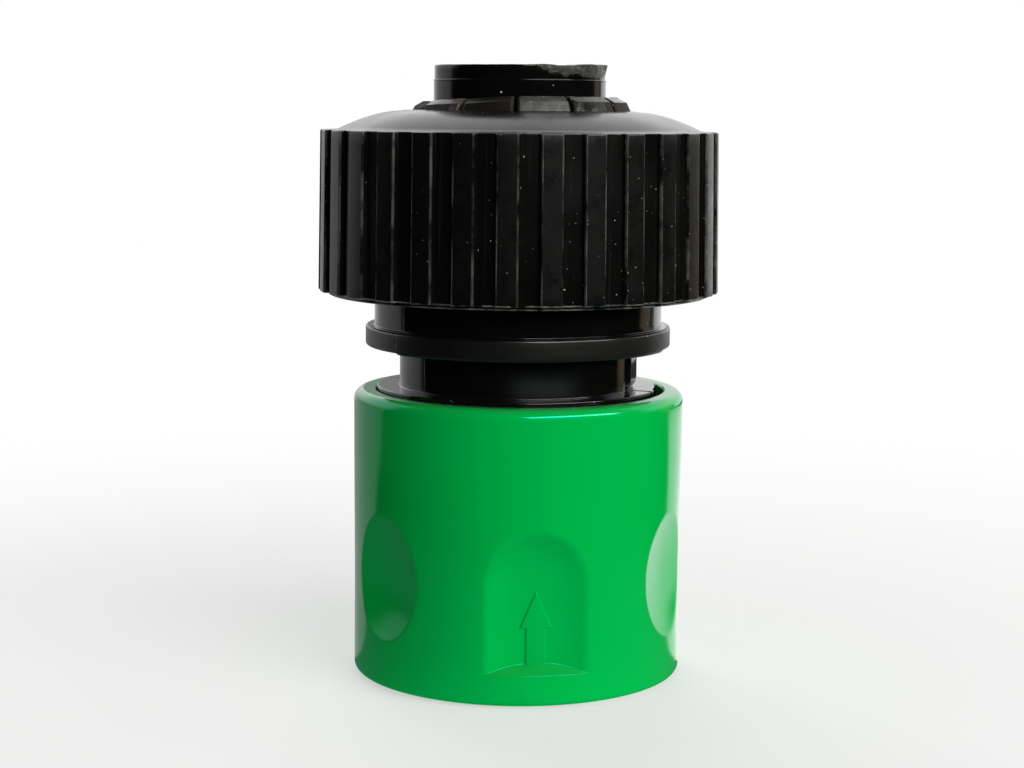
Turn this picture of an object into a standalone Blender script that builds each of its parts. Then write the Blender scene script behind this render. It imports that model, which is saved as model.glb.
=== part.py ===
"""Garden hose quick connector, modelled as an assembly.

The body stands on the end of its plug socket, with the tail for the hose at the top. Metres, +Z up,
and -Y is the front. An azimuth is counted in degrees from the front towards +X.
"""

import math

import bmesh
import bpy
from mathutils import Matrix

# Clearances
FIT_GAP = 0.0003            # between pieces that rest on each other
SLIDE_GAP = 0.0004          # between pieces that slide in each other
WELD_DISTANCE = 1e-7        # points closer than this are one
SHARP_ANGLE = 30.0          # edges over this many degrees stay crisp

# Body, heights in order from the socket's end face
SOCKET_DEPTH = 0.0130       # wide bore for the plug's shoulder
SEAL_DEPTH = 0.0110         # narrow bore for the plug's sealing ring
SEAL_FLOOR = 0.0050         # from the seal bore's end up to the underside of the shoulder disc
DISC_THICKNESS = 0.0020
NECK_LENGTH = 0.00435
FLANGE_THICKNESS = 0.00215
COLLAR_LENGTH = 0.0055      # smooth barrel between the flange and the thread
THREAD_LENGTH = 0.0095      # threaded barrel up to its rim
TAIL_STANDOUT = 0.0123      # tail above the barrel's rim
TAIL_TIP_LENGTH = 0.00145   # slightly thinner end of the tail

# Body, radii and walls
TAIL_BORE_RADIUS = 0.0070
TAIL_WALL = 0.00207
TAIL_TIP_STEP = 0.00007
HOSE_SPACE = 0.00433        # room for the hose wall between tail and barrel
BARREL_WALL = 0.0019
FLANGE_STANDOUT = 0.00095
NECK_CORE = 0.00183         # moulding core around the tail inside the neck
NECK_WALL = 0.0017
SOCKET_RADIUS = 0.0089
SOCKET_WALL = 0.0030
SEAL_RADIUS = 0.00725
SEAL_WALL = 0.00235
PASSAGE_RADIUS = 0.0065
SOCKET_LEAD_IN = 0.0006
SEAL_LEAD_IN = 0.0005
EDGE_BREAK = 0.0003         # small chamfers on turned edges
BARB_HEIGHT = 0.0003
BARB_PITCH = 0.0030
BARB_COUNT = 3

# Body, details
SNAP_RING_STANDOUT = 0.0010
SNAP_RING_HEIGHT = 0.0012
SPRING_RIB_WIDTH = 0.0012
SPRING_RIB_COUNT = 6
WINDOW_SIDE_GAP = 0.0004    # window beside and above a claw
DISC_SLOT_WIDTH = 0.00035
DISC_SLOT_DEPTH = 0.0010
DISC_SLOT_AZIMUTHS = (69.5, 249.5)
LUG_AZIMUTH = 80.0          # rounded lug on the neck
LUG_WIDTH = 0.0058
LUG_STANDOUT = 0.0002
LUG_OVERREACH = 0.0005      # lug runs this far into the disc and the flange
NECK_FLAT_DEPTH = 0.00045   # flat behind the lug

# Thread between body and nut
THREAD_PITCH = 0.0036
THREAD_HEIGHT = 0.0013
THREAD_ROOT_WIDTH = 0.0019
THREAD_CREST_WIDTH = 0.0008
THREAD_TURNS = 2

# Nut
NUT_WALL = 0.0035           # thread root to the floor of the grip grooves
NUT_RIB_HEIGHT = 0.0006
NUT_RIB_COUNT = 30
NUT_RIB_AZIMUTH = 8.8       # middle of one rib
NUT_RIB_SHARE = 0.49        # rib's share of the pitch at its crest
NUT_FLANK_SHARE = 0.05      # one flank's share of the pitch
NUT_DRAFT = 0.00025         # skirt grows by this much towards the bottom
NUT_SKIRT_LENGTH = 0.0138   # inner shoulder down to the nut's bottom
NUT_CONE_HEIGHT = 0.0056    # inner shoulder up to the mouth
NUT_CROWN_HEIGHT = 0.0021   # domed top above the ribs
NUT_CROWN_POWER = 1.75      # the higher, the later the dome falls away
NUT_CROWN_INSET = 0.0012    # dome ends this far inside the grooves
NUT_MOUTH_DROP = 0.00015    # small step round the mouth
NUT_MOUTH_EDGE = 0.0004     # width of that step
NUT_MOUTH_LAND = 0.0006
NUT_LIP_HEIGHT = 0.0004
NUT_LIP_INSET = 0.0002      # lip under the ribs, inside the groove floor
NUT_SHOULDER_STEP = 0.0014

# Grip ring
GRIP_FLANGE_THICKNESS = 0.0015
GRIP_FLANGE_INSET = 0.0001  # flange edge inside the barrel's outside
GRIP_FINGER_COUNT = 12
GRIP_SLOT_WIDTH = 0.0006
GRIP_SLOT_AZIMUTH = -2.4
GRIP_BASE_OUTER = 0.0010    # finger root inside the flange's edge
GRIP_BASE_INNER = 0.0030
GRIP_MOUTH_RADIUS = 0.01163 # finger outside at the nut's mouth
GRIP_TIP_RADIUS = 0.01118
GRIP_TIP_HEIGHT = 0.0009    # finger above the nut's mouth
GRIP_TIP_CROWN = 0.0005
GRIP_TIP_LAND = 0.0008
GRIP_TOOTH_DEPTH = 0.0004
GRIP_TOOTH_START = 0.0024   # first tooth above the flange
GRIP_TOOTH_PITCH = 0.0017
GRIP_TOOTH_COUNT = 2

# Sleeve
SLEEVE_LIFT_OFF = 0.0003    # sleeve's bottom above the socket's end face
DISC_PROUD = 0.00035        # shoulder disc above the sleeve's top
SPRING_SPACE = 0.0035       # between the socket barrel and the sleeve's bore
SLEEVE_WALL = 0.0022
SLEEVE_SPRING_WALL = 0.0028 # thicker wall around the spring
SLEEVE_STROKE = 0.0040
SLEEVE_SHELF = 0.0018
SLEEVE_TOP_RADIUS = 0.0011  # rounded outer edges
SLEEVE_BOTTOM_RADIUS = 0.0008
STOP_POCKET = 0.0035        # between the top of the cam and the shelf
CAM_SLOPE = 0.3             # claw's travel for each unit of the sleeve's
GUIDE_RIB_WIDTH = 0.0036
GUIDE_RIB_HEIGHT = 0.00055
GUIDE_RIB_AZIMUTHS = (84.0, 204.0, 324.0)

# Recesses around the sleeve
RECESS_COUNT = 3            # scoops, and dimples with a claw behind each
SCOOP_AZIMUTH = 6.9
SCOOP_WIDTH = 0.0105
SCOOP_DEPTH = 0.0014
SCOOP_LEDGE_BOTTOM = 0.00356
SCOOP_LEDGE_RISE = 0.00094
SCOOP_TOP = 0.01805
SCOOP_ARCH_HEIGHT = 0.0055
SCOOP_ROUNDNESS = 0.00135   # how far the trough's side curves in
DIMPLE_WIDTH = 0.0098
DIMPLE_HEIGHT = 0.0132
DIMPLE_MIDDLE = 0.0118
DIMPLE_DEPTH = 0.0013
DIMPLE_ROUNDNESS = 0.0030
ARROW_TOP = 0.0122
ARROW_HEAD_BASE = 0.0083
ARROW_HEAD_WIDTH = 0.0034
ARROW_SHAFT_WIDTH = 0.00205
ARROW_RELIEF = 0.0003

# Claws
CLAW_BOTTOM = 0.0046
CLAW_HEIGHT = 0.0044
CLAW_WIDTH = 0.0050
CLAW_WING_WIDTH = 0.0072
CLAW_REACH = 0.0012         # into the socket
CLAW_NOSE_BEVEL = 0.0012

# Return spring
WIRE_DIAMETER = 0.0011
SPRING_TURNS = 6
SPRING_END_GAP = 0.00012    # between the closed coils at each end

# Facets
BODY_SIDES = 44
NUT_SIDES = 48
GRIP_SIDES = 36
SLEEVE_SIDES = 66
THREAD_SIDES = 32
SPRING_SIDES = 12
WIRE_RESOLUTION = 2         # bevel steps of the spring wire
CROWN_STEPS = 7
TOP_ROUND_STEPS = 4
BOTTOM_ROUND_STEPS = 3
RECESS_SEGMENTS = 24
SCOOP_RINGS = 12
DIMPLE_RINGS = 16
LUG_SEGMENTS = 14
LUG_RINGS = 8

# Heights worked out from the sizes above
disc_bottom = SOCKET_DEPTH + SEAL_DEPTH + SEAL_FLOOR
disc_top = disc_bottom + DISC_THICKNESS
flange_bottom = disc_top + NECK_LENGTH
flange_top = flange_bottom + FLANGE_THICKNESS
thread_bottom = flange_top + COLLAR_LENGTH
barrel_top = thread_bottom + THREAD_LENGTH
tail_top = barrel_top + TAIL_STANDOUT
grip_bottom = barrel_top + FIT_GAP
grip_flange_top = grip_bottom + GRIP_FLANGE_THICKNESS
nut_shoulder = grip_flange_top + FIT_GAP
nut_mouth = nut_shoulder + NUT_CONE_HEIGHT
nut_bottom = nut_shoulder - NUT_SKIRT_LENGTH
nut_ledge = nut_mouth - NUT_CROWN_HEIGHT
sleeve_top = disc_top - DISC_PROUD
claw_top = CLAW_BOTTOM + CLAW_HEIGHT
shelf_bottom = claw_top + STOP_POCKET
shelf_top = shelf_bottom + SLEEVE_SHELF
snap_ring_top = shelf_bottom - FIT_GAP
socket_shoulder = snap_ring_top + SNAP_RING_HEIGHT + SNAP_RING_STANDOUT
thread_start = barrel_top - EDGE_BREAK - THREAD_ROOT_WIDTH / 2 - THREAD_PITCH * THREAD_TURNS

# Radii worked out from the sizes above
tail_radius = TAIL_BORE_RADIUS + TAIL_WALL
barrel_bore = tail_radius + HOSE_SPACE
barrel_radius = barrel_bore + BARREL_WALL
flange_radius = barrel_radius + FLANGE_STANDOUT
neck_bore = tail_radius + NECK_CORE
neck_radius = neck_bore + NECK_WALL
socket_outer = SOCKET_RADIUS + SOCKET_WALL
seal_outer = SEAL_RADIUS + SEAL_WALL
sleeve_bore = socket_outer + SPRING_SPACE
sleeve_radius = sleeve_bore + SLEEVE_WALL
spring_bore = sleeve_radius - SLEEVE_SPRING_WALL
disc_radius = sleeve_bore - SLIDE_GAP
snap_ring_radius = socket_outer + SNAP_RING_STANDOUT
cam_top_radius = snap_ring_radius + SLIDE_GAP
thread_crest = barrel_radius + THREAD_HEIGHT
nut_bore = thread_crest + FIT_GAP
nut_groove_radius = nut_bore + NUT_WALL
nut_radius = nut_groove_radius + NUT_RIB_HEIGHT
spring_radius = (socket_outer + spring_bore) / 2
finger_base_radius = barrel_radius - GRIP_FLANGE_INSET - GRIP_BASE_OUTER


def evenly(first, count):
    """Azimuths evenly spaced around the part."""
    return [first + 360.0 / count * i for i in range(count)]


# The scoops share the turn with the dimples, which sit between them in front of the claws.
scoop_azimuths = evenly(SCOOP_AZIMUTH, RECESS_COUNT)
claw_azimuths = evenly(SCOOP_AZIMUTH + 180.0 / RECESS_COUNT, RECESS_COUNT)


def cam_radius(height):
    """Radius of the sleeve's cam cone at a height, with the sleeve at rest."""
    return cam_top_radius + CAM_SLOPE * (claw_top - height)


def clear_scene():
    for old in list(bpy.data.objects):
        bpy.data.objects.remove(old, do_unlink=True)


def new_collection(name):
    group = bpy.data.collections.new(name)
    bpy.context.scene.collection.children.link(group)
    return group


def plastic(name, colour, roughness, metallic=0.0):
    material = bpy.data.materials.new(name)
    material.use_nodes = True
    shader = material.node_tree.nodes["Principled BSDF"]
    shader.inputs["Base Color"].default_value = (*colour, 1.0)
    shader.inputs["Roughness"].default_value = roughness
    shader.inputs["Metallic"].default_value = metallic
    return material


def turn_to(azimuth):
    """Rotation that takes a shape built along +X to an azimuth."""
    return Matrix.Rotation(math.radians(azimuth - 90.0), 4, "Z")


def new_object(name, mesh, group):
    item = bpy.data.objects.new(name, mesh)
    group.objects.link(item)
    return item


def make_cutter(item):
    item.hide_render = True
    item.display_type = "WIRE"
    return item


def turned(name, profile, sides, group):
    """A closed profile of (radius, height) points, down its outer side and up its inner side, turned."""
    mesh = bpy.data.meshes.new(name)
    shape = bmesh.new()
    points = [shape.verts.new((radius, 0.0, height)) for radius, height in profile]
    for start, end in zip(points, points[1:] + points[:1]):
        shape.edges.new((start, end))
    shape.to_mesh(mesh)
    shape.free()
    item = new_object(name, mesh, group)
    screw = item.modifiers.new("turn", "SCREW")
    screw.steps = sides
    screw.render_steps = sides
    screw.merge_threshold = WELD_DISTANCE
    screw.use_merge_vertices = True
    return item


def arc(centre_radius, centre_height, radius, start, end, steps):
    """Points on a rounded edge, from one angle in degrees to another."""
    points = []
    for i in range(steps + 1):
        angle = math.radians(start + (end - start) * i / steps)
        points.append((centre_radius + radius * math.cos(angle), centre_height + radius * math.sin(angle)))
    return points


def box_shape(inner, outer, width, low, high):
    """A box along +X, between two radii and two heights."""
    shape = bmesh.new()
    size = Matrix.Diagonal((outer - inner, width, high - low, 1.0))
    place = Matrix.Translation(((inner + outer) / 2, 0.0, (low + high) / 2))
    bmesh.ops.create_cube(shape, size=1.0, matrix=place @ size)
    return shape


def ellipsoid_shape(radius, height, half_depth, half_width, half_height, segments, rings):
    """An ellipsoid centred on +X at a radius and a height."""
    shape = bmesh.new()
    size = Matrix.Diagonal((half_depth, half_width, half_height, 1.0))
    place = Matrix.Translation((radius, 0.0, height))
    bmesh.ops.create_uvsphere(shape, u_segments=segments, v_segments=rings, radius=1.0, matrix=place @ size)
    return shape


def outline_shape(outline, thickness):
    """A flat outline in X and Y, extruded to a thickness above and below z = 0."""
    curve = bpy.data.curves.new("outline", "CURVE")
    curve.dimensions = "2D"
    curve.fill_mode = "BOTH"
    curve.extrude = thickness / 2
    spline = curve.splines.new("POLY")
    spline.points.add(len(outline) - 1)
    for point, (x, y) in zip(spline.points, outline):
        point.co = (x, y, 0.0, 1.0)
    spline.use_cyclic_u = True
    holder = bpy.data.objects.new("outline", curve)
    bpy.context.scene.collection.objects.link(holder)
    view = bpy.context.evaluated_depsgraph_get()
    mesh = bpy.data.meshes.new_from_object(holder.evaluated_get(view))
    shape = bmesh.new()
    shape.from_mesh(mesh)
    bmesh.ops.remove_doubles(shape, verts=shape.verts, dist=WELD_DISTANCE)
    bpy.data.objects.remove(holder, do_unlink=True)
    bpy.data.meshes.remove(mesh)
    return shape


def placed(name, shape, azimuths, group):
    """One object that holds a copy of the shape at each azimuth."""
    joined = bmesh.new()
    single = bpy.data.meshes.new(name)
    for azimuth in azimuths:
        copy = shape.copy()
        copy.transform(turn_to(azimuth))
        copy.to_mesh(single)
        joined.from_mesh(single)
        copy.free()
    bpy.data.meshes.remove(single)
    shape.free()
    bmesh.ops.recalc_face_normals(joined, faces=joined.faces)
    mesh = bpy.data.meshes.new(name)
    joined.to_mesh(mesh)
    joined.free()
    return make_cutter(new_object(name, mesh, group))


def combine(target, operation, tool):
    step = target.modifiers.new(tool.name, "BOOLEAN")
    step.operation = operation
    step.solver = "EXACT"
    step.object = tool


def settle(item, material):
    """Fixes the modifiers' result in the mesh, with its material and smooth shading."""
    view = bpy.context.evaluated_depsgraph_get()
    mesh = bpy.data.meshes.new_from_object(item.evaluated_get(view))
    item.modifiers.clear()
    item.data = mesh
    mesh.name = item.name
    mesh.materials.clear()
    mesh.materials.append(material)
    mesh.shade_smooth()
    mesh.set_sharp_from_angle(angle=math.radians(SHARP_ANGLE))
    return item


def thread_ridge(name, inner, outer, inner_width, outer_width, start, group):
    """A right-hand ridge of trapezoid section, its middle at a height where it starts."""
    mesh = bpy.data.meshes.new(name)
    shape = bmesh.new()
    section = [
        (inner, start + inner_width / 2),
        (outer, start + outer_width / 2),
        (outer, start - outer_width / 2),
        (inner, start - inner_width / 2),
    ]
    points = [shape.verts.new((radius, 0.0, height)) for radius, height in section]
    for first, second in zip(points, points[1:] + points[:1]):
        shape.edges.new((first, second))
    shape.to_mesh(mesh)
    shape.free()
    item = new_object(name, mesh, group)
    screw = item.modifiers.new("helix", "SCREW")
    screw.steps = THREAD_SIDES
    screw.render_steps = THREAD_SIDES
    screw.screw_offset = THREAD_PITCH
    screw.iterations = THREAD_TURNS
    screw.merge_threshold = WELD_DISTANCE
    view = bpy.context.evaluated_depsgraph_get()
    swept = bmesh.new()
    swept.from_mesh(item.evaluated_get(view).to_mesh())
    ends = [edge for edge in swept.edges if edge.is_boundary]
    bmesh.ops.holes_fill(swept, edges=ends)
    bmesh.ops.recalc_face_normals(swept, faces=swept.faces)
    item.modifiers.clear()
    swept.to_mesh(mesh)
    swept.free()
    return make_cutter(item)


def tail_barbs():
    """Low ridges on the hidden part of the tail, from the barrel's rim down."""
    points = []
    for i in range(BARB_COUNT):
        crest = barrel_top - BARB_PITCH * (i + 1)
        points.append((tail_radius, crest + BARB_PITCH / 2))
        points.append((tail_radius + BARB_HEIGHT, crest))
        points.append((tail_radius, crest - EDGE_BREAK / 2))
    return points


def body_profile():
    tip_radius = tail_radius - TAIL_TIP_STEP
    tip_bottom = tail_top - TAIL_TIP_LENGTH
    seal_start = SOCKET_DEPTH
    seal_end = SOCKET_DEPTH + SEAL_DEPTH
    return [
        (TAIL_BORE_RADIUS, tail_top),
        (tip_radius, tail_top),
        (tip_radius, tip_bottom),
        (tail_radius, tip_bottom - TAIL_TIP_STEP),
        *tail_barbs(),
        (tail_radius, disc_top),
        (neck_bore, disc_top),
        (neck_bore, flange_top),
        (barrel_bore, flange_top),
        (barrel_bore, barrel_top),
        (barrel_radius - EDGE_BREAK, barrel_top),
        (barrel_radius, barrel_top - EDGE_BREAK),
        (barrel_radius, flange_top),
        (flange_radius - EDGE_BREAK, flange_top),
        (flange_radius, flange_top - EDGE_BREAK),
        (flange_radius, flange_bottom + EDGE_BREAK),
        (flange_radius - EDGE_BREAK, flange_bottom),
        (neck_radius, flange_bottom),
        (neck_radius, disc_top),
        (disc_radius, disc_top),
        (disc_radius, disc_bottom),
        (seal_outer, disc_bottom),
        (seal_outer, socket_shoulder),
        (socket_outer, socket_shoulder),
        (socket_outer, snap_ring_top),
        (snap_ring_radius, snap_ring_top),
        (snap_ring_radius, snap_ring_top - SNAP_RING_HEIGHT / 2),
        (socket_outer, snap_ring_top - SNAP_RING_HEIGHT),
        (socket_outer, EDGE_BREAK),
        (socket_outer - EDGE_BREAK, 0.0),
        (SOCKET_RADIUS + SOCKET_LEAD_IN, 0.0),
        (SOCKET_RADIUS, SOCKET_LEAD_IN),
        (SOCKET_RADIUS, seal_start),
        (SEAL_RADIUS + SEAL_LEAD_IN, seal_start),
        (SEAL_RADIUS, seal_start + SEAL_LEAD_IN),
        (SEAL_RADIUS, seal_end),
        (PASSAGE_RADIUS, seal_end),
        (PASSAGE_RADIUS, disc_bottom),
        (TAIL_BORE_RADIUS, disc_top),
    ]


def make_body(parts, cutters, material):
    body = turned("body", body_profile(), BODY_SIDES, parts)
    past = FIT_GAP

    windows = box_shape(
        SOCKET_RADIUS - SOCKET_WALL / 2, socket_outer + past,
        CLAW_WIDTH + 2 * WINDOW_SIDE_GAP, CLAW_BOTTOM - FIT_GAP, claw_top + FIT_GAP,
    )
    combine(body, "DIFFERENCE", placed("claw_windows", windows, claw_azimuths, cutters))

    keyways = box_shape(
        sleeve_bore - GUIDE_RIB_HEIGHT - SLIDE_GAP, sleeve_bore,
        GUIDE_RIB_WIDTH + 2 * SLIDE_GAP, disc_bottom - past, disc_top + past,
    )
    combine(body, "DIFFERENCE", placed("disc_keyways", keyways, GUIDE_RIB_AZIMUTHS, cutters))

    slots = box_shape(
        neck_radius + past, sleeve_bore,
        DISC_SLOT_WIDTH, disc_top - DISC_SLOT_DEPTH, disc_top + past,
    )
    combine(body, "DIFFERENCE", placed("disc_slots", slots, DISC_SLOT_AZIMUTHS, cutters))

    flat = box_shape(
        neck_radius - NECK_FLAT_DEPTH, neck_radius + past,
        2 * neck_radius, disc_top, flange_bottom,
    )
    combine(body, "DIFFERENCE", placed("neck_flat", flat, [LUG_AZIMUTH], cutters))

    lug_depth = NECK_CORE / 2
    lug = ellipsoid_shape(
        neck_radius + LUG_STANDOUT - lug_depth, (disc_top + flange_bottom) / 2,
        lug_depth, LUG_WIDTH / 2, NECK_LENGTH / 2 + LUG_OVERREACH, LUG_SEGMENTS, LUG_RINGS,
    )
    combine(body, "UNION", placed("neck_lug", lug, [LUG_AZIMUTH], cutters))

    ribs = box_shape(
        (SEAL_RADIUS + seal_outer) / 2, socket_outer,
        SPRING_RIB_WIDTH, socket_shoulder - past, disc_bottom + past,
    )
    rib_azimuths = evenly(SCOOP_AZIMUTH, SPRING_RIB_COUNT)
    combine(body, "UNION", placed("spring_ribs", ribs, rib_azimuths, cutters))

    ridge = thread_ridge(
        "body_thread", barrel_radius - FIT_GAP, thread_crest,
        THREAD_ROOT_WIDTH, THREAD_CREST_WIDTH, thread_start, cutters,
    )
    combine(body, "UNION", ridge)
    return settle(body, material)


def fluted_drum(name, low, high, group):
    """The nut's ribbed skirt: a many-sided cone whose corners are moved to the ribs and grooves."""
    corners = 4
    sides = NUT_RIB_COUNT * corners
    shape = bmesh.new()
    place = Matrix.Translation((0.0, 0.0, (low + high) / 2))
    bmesh.ops.create_cone(
        shape, cap_ends=True, segments=sides, radius1=1.0, radius2=1.0, depth=high - low, matrix=place,
    )
    pitch = 2 * math.pi / NUT_RIB_COUNT
    half_rib = NUT_RIB_SHARE * pitch / 2
    half_foot = half_rib + NUT_FLANK_SHARE * pitch
    rib_line = math.radians(NUT_RIB_AZIMUTH - 90.0)
    steps = [
        (-half_foot, nut_groove_radius),
        (-half_rib, nut_radius),
        (half_rib, nut_radius),
        (half_foot, nut_groove_radius),
    ]
    for corner in shape.verts:
        index = round(math.atan2(corner.co.y, corner.co.x) / (2 * math.pi) * sides) % sides
        turn, radius = steps[index % corners]
        angle = rib_line + (index // corners) * pitch + turn
        if corner.co.z < (low + high) / 2:
            radius += NUT_DRAFT
        corner.co.x = radius * math.cos(angle)
        corner.co.y = radius * math.sin(angle)
    mesh = bpy.data.meshes.new(name)
    shape.to_mesh(mesh)
    shape.free()
    return new_object(name, mesh, group)


def nut_cone_radius(height):
    """Inside of the nut's cone, just off the fingers."""
    share = (height - grip_flange_top) / (nut_mouth - grip_flange_top)
    finger = finger_base_radius + (GRIP_MOUTH_RADIUS - finger_base_radius) * share
    return finger + FIT_GAP


def make_nut(parts, cutters, material):
    nut = fluted_drum("nut", nut_bottom + NUT_LIP_HEIGHT, nut_ledge, parts)
    overlap = FIT_GAP

    # The domed top falls from the mouth to the ledge above the ribs on a flat arc.
    mouth_radius = nut_cone_radius(nut_mouth)
    crown_start = mouth_radius + NUT_MOUTH_EDGE
    crown_foot = nut_groove_radius - NUT_CROWN_INSET
    crown = [(mouth_radius, nut_mouth)]
    for i in range(CROWN_STEPS + 1):
        share = i / CROWN_STEPS
        drop = NUT_MOUTH_DROP + (NUT_CROWN_HEIGHT - NUT_MOUTH_DROP) * share ** NUT_CROWN_POWER
        crown.append((crown_start + (crown_foot - crown_start) * share, nut_mouth - drop))
    core = [
        *crown,
        (nut_groove_radius - NUT_LIP_INSET, nut_ledge - overlap),
        (nut_groove_radius - NUT_LIP_INSET, nut_bottom),
        (nut_bore, nut_bottom),
        (nut_bore, nut_shoulder - NUT_SHOULDER_STEP),
        (barrel_radius + FIT_GAP, nut_shoulder),
        (nut_cone_radius(nut_shoulder), nut_shoulder),
        (mouth_radius, nut_mouth - NUT_MOUTH_LAND),
    ]
    hollow = [
        (nut_bore, nut_ledge + NUT_CROWN_HEIGHT),
        (nut_bore, nut_bottom - overlap),
        (0.0, nut_bottom - overlap),
        (0.0, nut_ledge + NUT_CROWN_HEIGHT),
    ]
    bore = make_cutter(turned("nut_hollow", hollow, NUT_SIDES, cutters))
    combine(nut, "DIFFERENCE", bore)
    shell = make_cutter(turned("nut_core", core, NUT_SIDES, cutters))
    combine(nut, "UNION", shell)
    ridge = thread_ridge(
        "nut_thread", thread_crest - THREAD_HEIGHT + FIT_GAP, nut_bore + FIT_GAP,
        THREAD_CREST_WIDTH, THREAD_ROOT_WIDTH, thread_start - THREAD_PITCH / 2, cutters,
    )
    combine(nut, "UNION", ridge)
    return settle(nut, material)


def make_grip_ring(parts, cutters, material):
    flange_edge = barrel_radius - GRIP_FLANGE_INSET
    finger_top = nut_mouth + GRIP_TIP_HEIGHT
    tip_inner = tail_radius + SLIDE_GAP
    base_inner = finger_base_radius - (GRIP_BASE_INNER - GRIP_BASE_OUTER)
    teeth = []
    for i in range(GRIP_TOOTH_COUNT):
        height = grip_flange_top + GRIP_TOOTH_START + GRIP_TOOTH_PITCH * i
        share = (height - grip_flange_top) / (finger_top - grip_flange_top)
        root = base_inner + (tip_inner - base_inner) * share
        teeth.append((root, height - GRIP_TOOTH_DEPTH))
        teeth.append((root - GRIP_TOOTH_DEPTH, height))
        teeth.append((root - GRIP_TOOTH_DEPTH / 4, height + GRIP_TOOTH_DEPTH))
    profile = [
        (tip_inner, finger_top + GRIP_TIP_CROWN),
        (tip_inner + GRIP_TIP_LAND, finger_top + GRIP_TIP_CROWN),
        (GRIP_TIP_RADIUS, finger_top),
        (GRIP_MOUTH_RADIUS, nut_mouth),
        (finger_base_radius, grip_flange_top),
        (flange_edge, grip_flange_top),
        (flange_edge, grip_bottom),
        (base_inner, grip_bottom),
        (base_inner, grip_flange_top),
        *teeth,
        (tip_inner, finger_top - GRIP_TIP_HEIGHT),
    ]
    ring = turned("grip_ring", profile, GRIP_SIDES, parts)
    slot = box_shape(
        tail_radius, finger_base_radius + GRIP_SLOT_WIDTH,
        GRIP_SLOT_WIDTH, grip_flange_top + FIT_GAP, finger_top + 2 * GRIP_TIP_CROWN,
    )
    slot_azimuths = evenly(GRIP_SLOT_AZIMUTH, GRIP_FINGER_COUNT)
    combine(ring, "DIFFERENCE", placed("grip_slots", slot, slot_azimuths, cutters))
    return settle(ring, material)


def sleeve_profile():
    step = sleeve_bore - spring_bore
    step_top = disc_bottom - SLEEVE_STROKE - SLIDE_GAP
    top = arc(
        sleeve_radius - SLEEVE_TOP_RADIUS, sleeve_top - SLEEVE_TOP_RADIUS,
        SLEEVE_TOP_RADIUS, 90, 0, TOP_ROUND_STEPS,
    )
    bottom = arc(
        sleeve_radius - SLEEVE_BOTTOM_RADIUS, SLEEVE_LIFT_OFF + SLEEVE_BOTTOM_RADIUS,
        SLEEVE_BOTTOM_RADIUS, 0, -90, BOTTOM_ROUND_STEPS,
    )
    return [
        (sleeve_bore + EDGE_BREAK, sleeve_top),
        *top,
        *bottom,
        (cam_radius(SLEEVE_LIFT_OFF), SLEEVE_LIFT_OFF),
        (cam_top_radius, claw_top),
        (cam_top_radius, shelf_bottom),
        (socket_outer + SLIDE_GAP, shelf_bottom),
        (socket_outer + SLIDE_GAP, shelf_top),
        (spring_bore, shelf_top),
        (spring_bore, step_top - step),
        (sleeve_bore, step_top),
        (sleeve_bore, sleeve_top - EDGE_BREAK),
    ]


def scoop_shape():
    """A thumb recess: an arched trough that ends on a sloping ledge at its bottom."""
    half_chord = SCOOP_WIDTH / 2
    floor = sleeve_radius - SCOOP_DEPTH
    middle = floor + SCOOP_ROUNDNESS
    edge = math.sqrt(sleeve_radius ** 2 - half_chord ** 2)
    share = (middle - edge) / SCOOP_ROUNDNESS
    half_width = half_chord / math.sqrt(1.0 - share ** 2)
    arch_foot = SCOOP_TOP - SCOOP_ARCH_HEIGHT
    shape = ellipsoid_shape(
        middle, arch_foot, SCOOP_ROUNDNESS, half_width, SCOOP_ARCH_HEIGHT, RECESS_SEGMENTS, SCOOP_RINGS,
    )
    everything = shape.verts[:] + shape.edges[:] + shape.faces[:]
    bmesh.ops.bisect_plane(
        shape, geom=everything, plane_co=(0.0, 0.0, arch_foot), plane_no=(0.0, 0.0, 1.0), clear_inner=True,
        dist=WELD_DISTANCE,
    )
    rim = [side for side in shape.edges if side.is_boundary]
    made = bmesh.ops.extrude_edge_only(shape, edges=rim)["geom"]
    for corner in [item for item in made if isinstance(item, bmesh.types.BMVert)]:
        inwards = sleeve_radius - corner.co.x
        corner.co.z = SCOOP_LEDGE_BOTTOM + SCOOP_LEDGE_RISE * inwards / SCOOP_DEPTH
    bmesh.ops.holes_fill(shape, edges=[side for side in shape.edges if side.is_boundary])
    return shape


def dimple_shape():
    """A finger recess: the part of an ellipsoid that dips into the sleeve."""
    middle = sleeve_radius - DIMPLE_DEPTH + DIMPLE_ROUNDNESS
    half_chord = DIMPLE_WIDTH / 2
    edge = math.sqrt(sleeve_radius ** 2 - half_chord ** 2)
    across = (middle - edge) / DIMPLE_ROUNDNESS
    along = (middle - sleeve_radius) / DIMPLE_ROUNDNESS
    half_width = half_chord / math.sqrt(1.0 - across ** 2)
    half_height = DIMPLE_HEIGHT / 2 / math.sqrt(1.0 - along ** 2)
    return ellipsoid_shape(
        middle, DIMPLE_MIDDLE, DIMPLE_ROUNDNESS, half_width, half_height, RECESS_SEGMENTS, DIMPLE_RINGS,
    )


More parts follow.
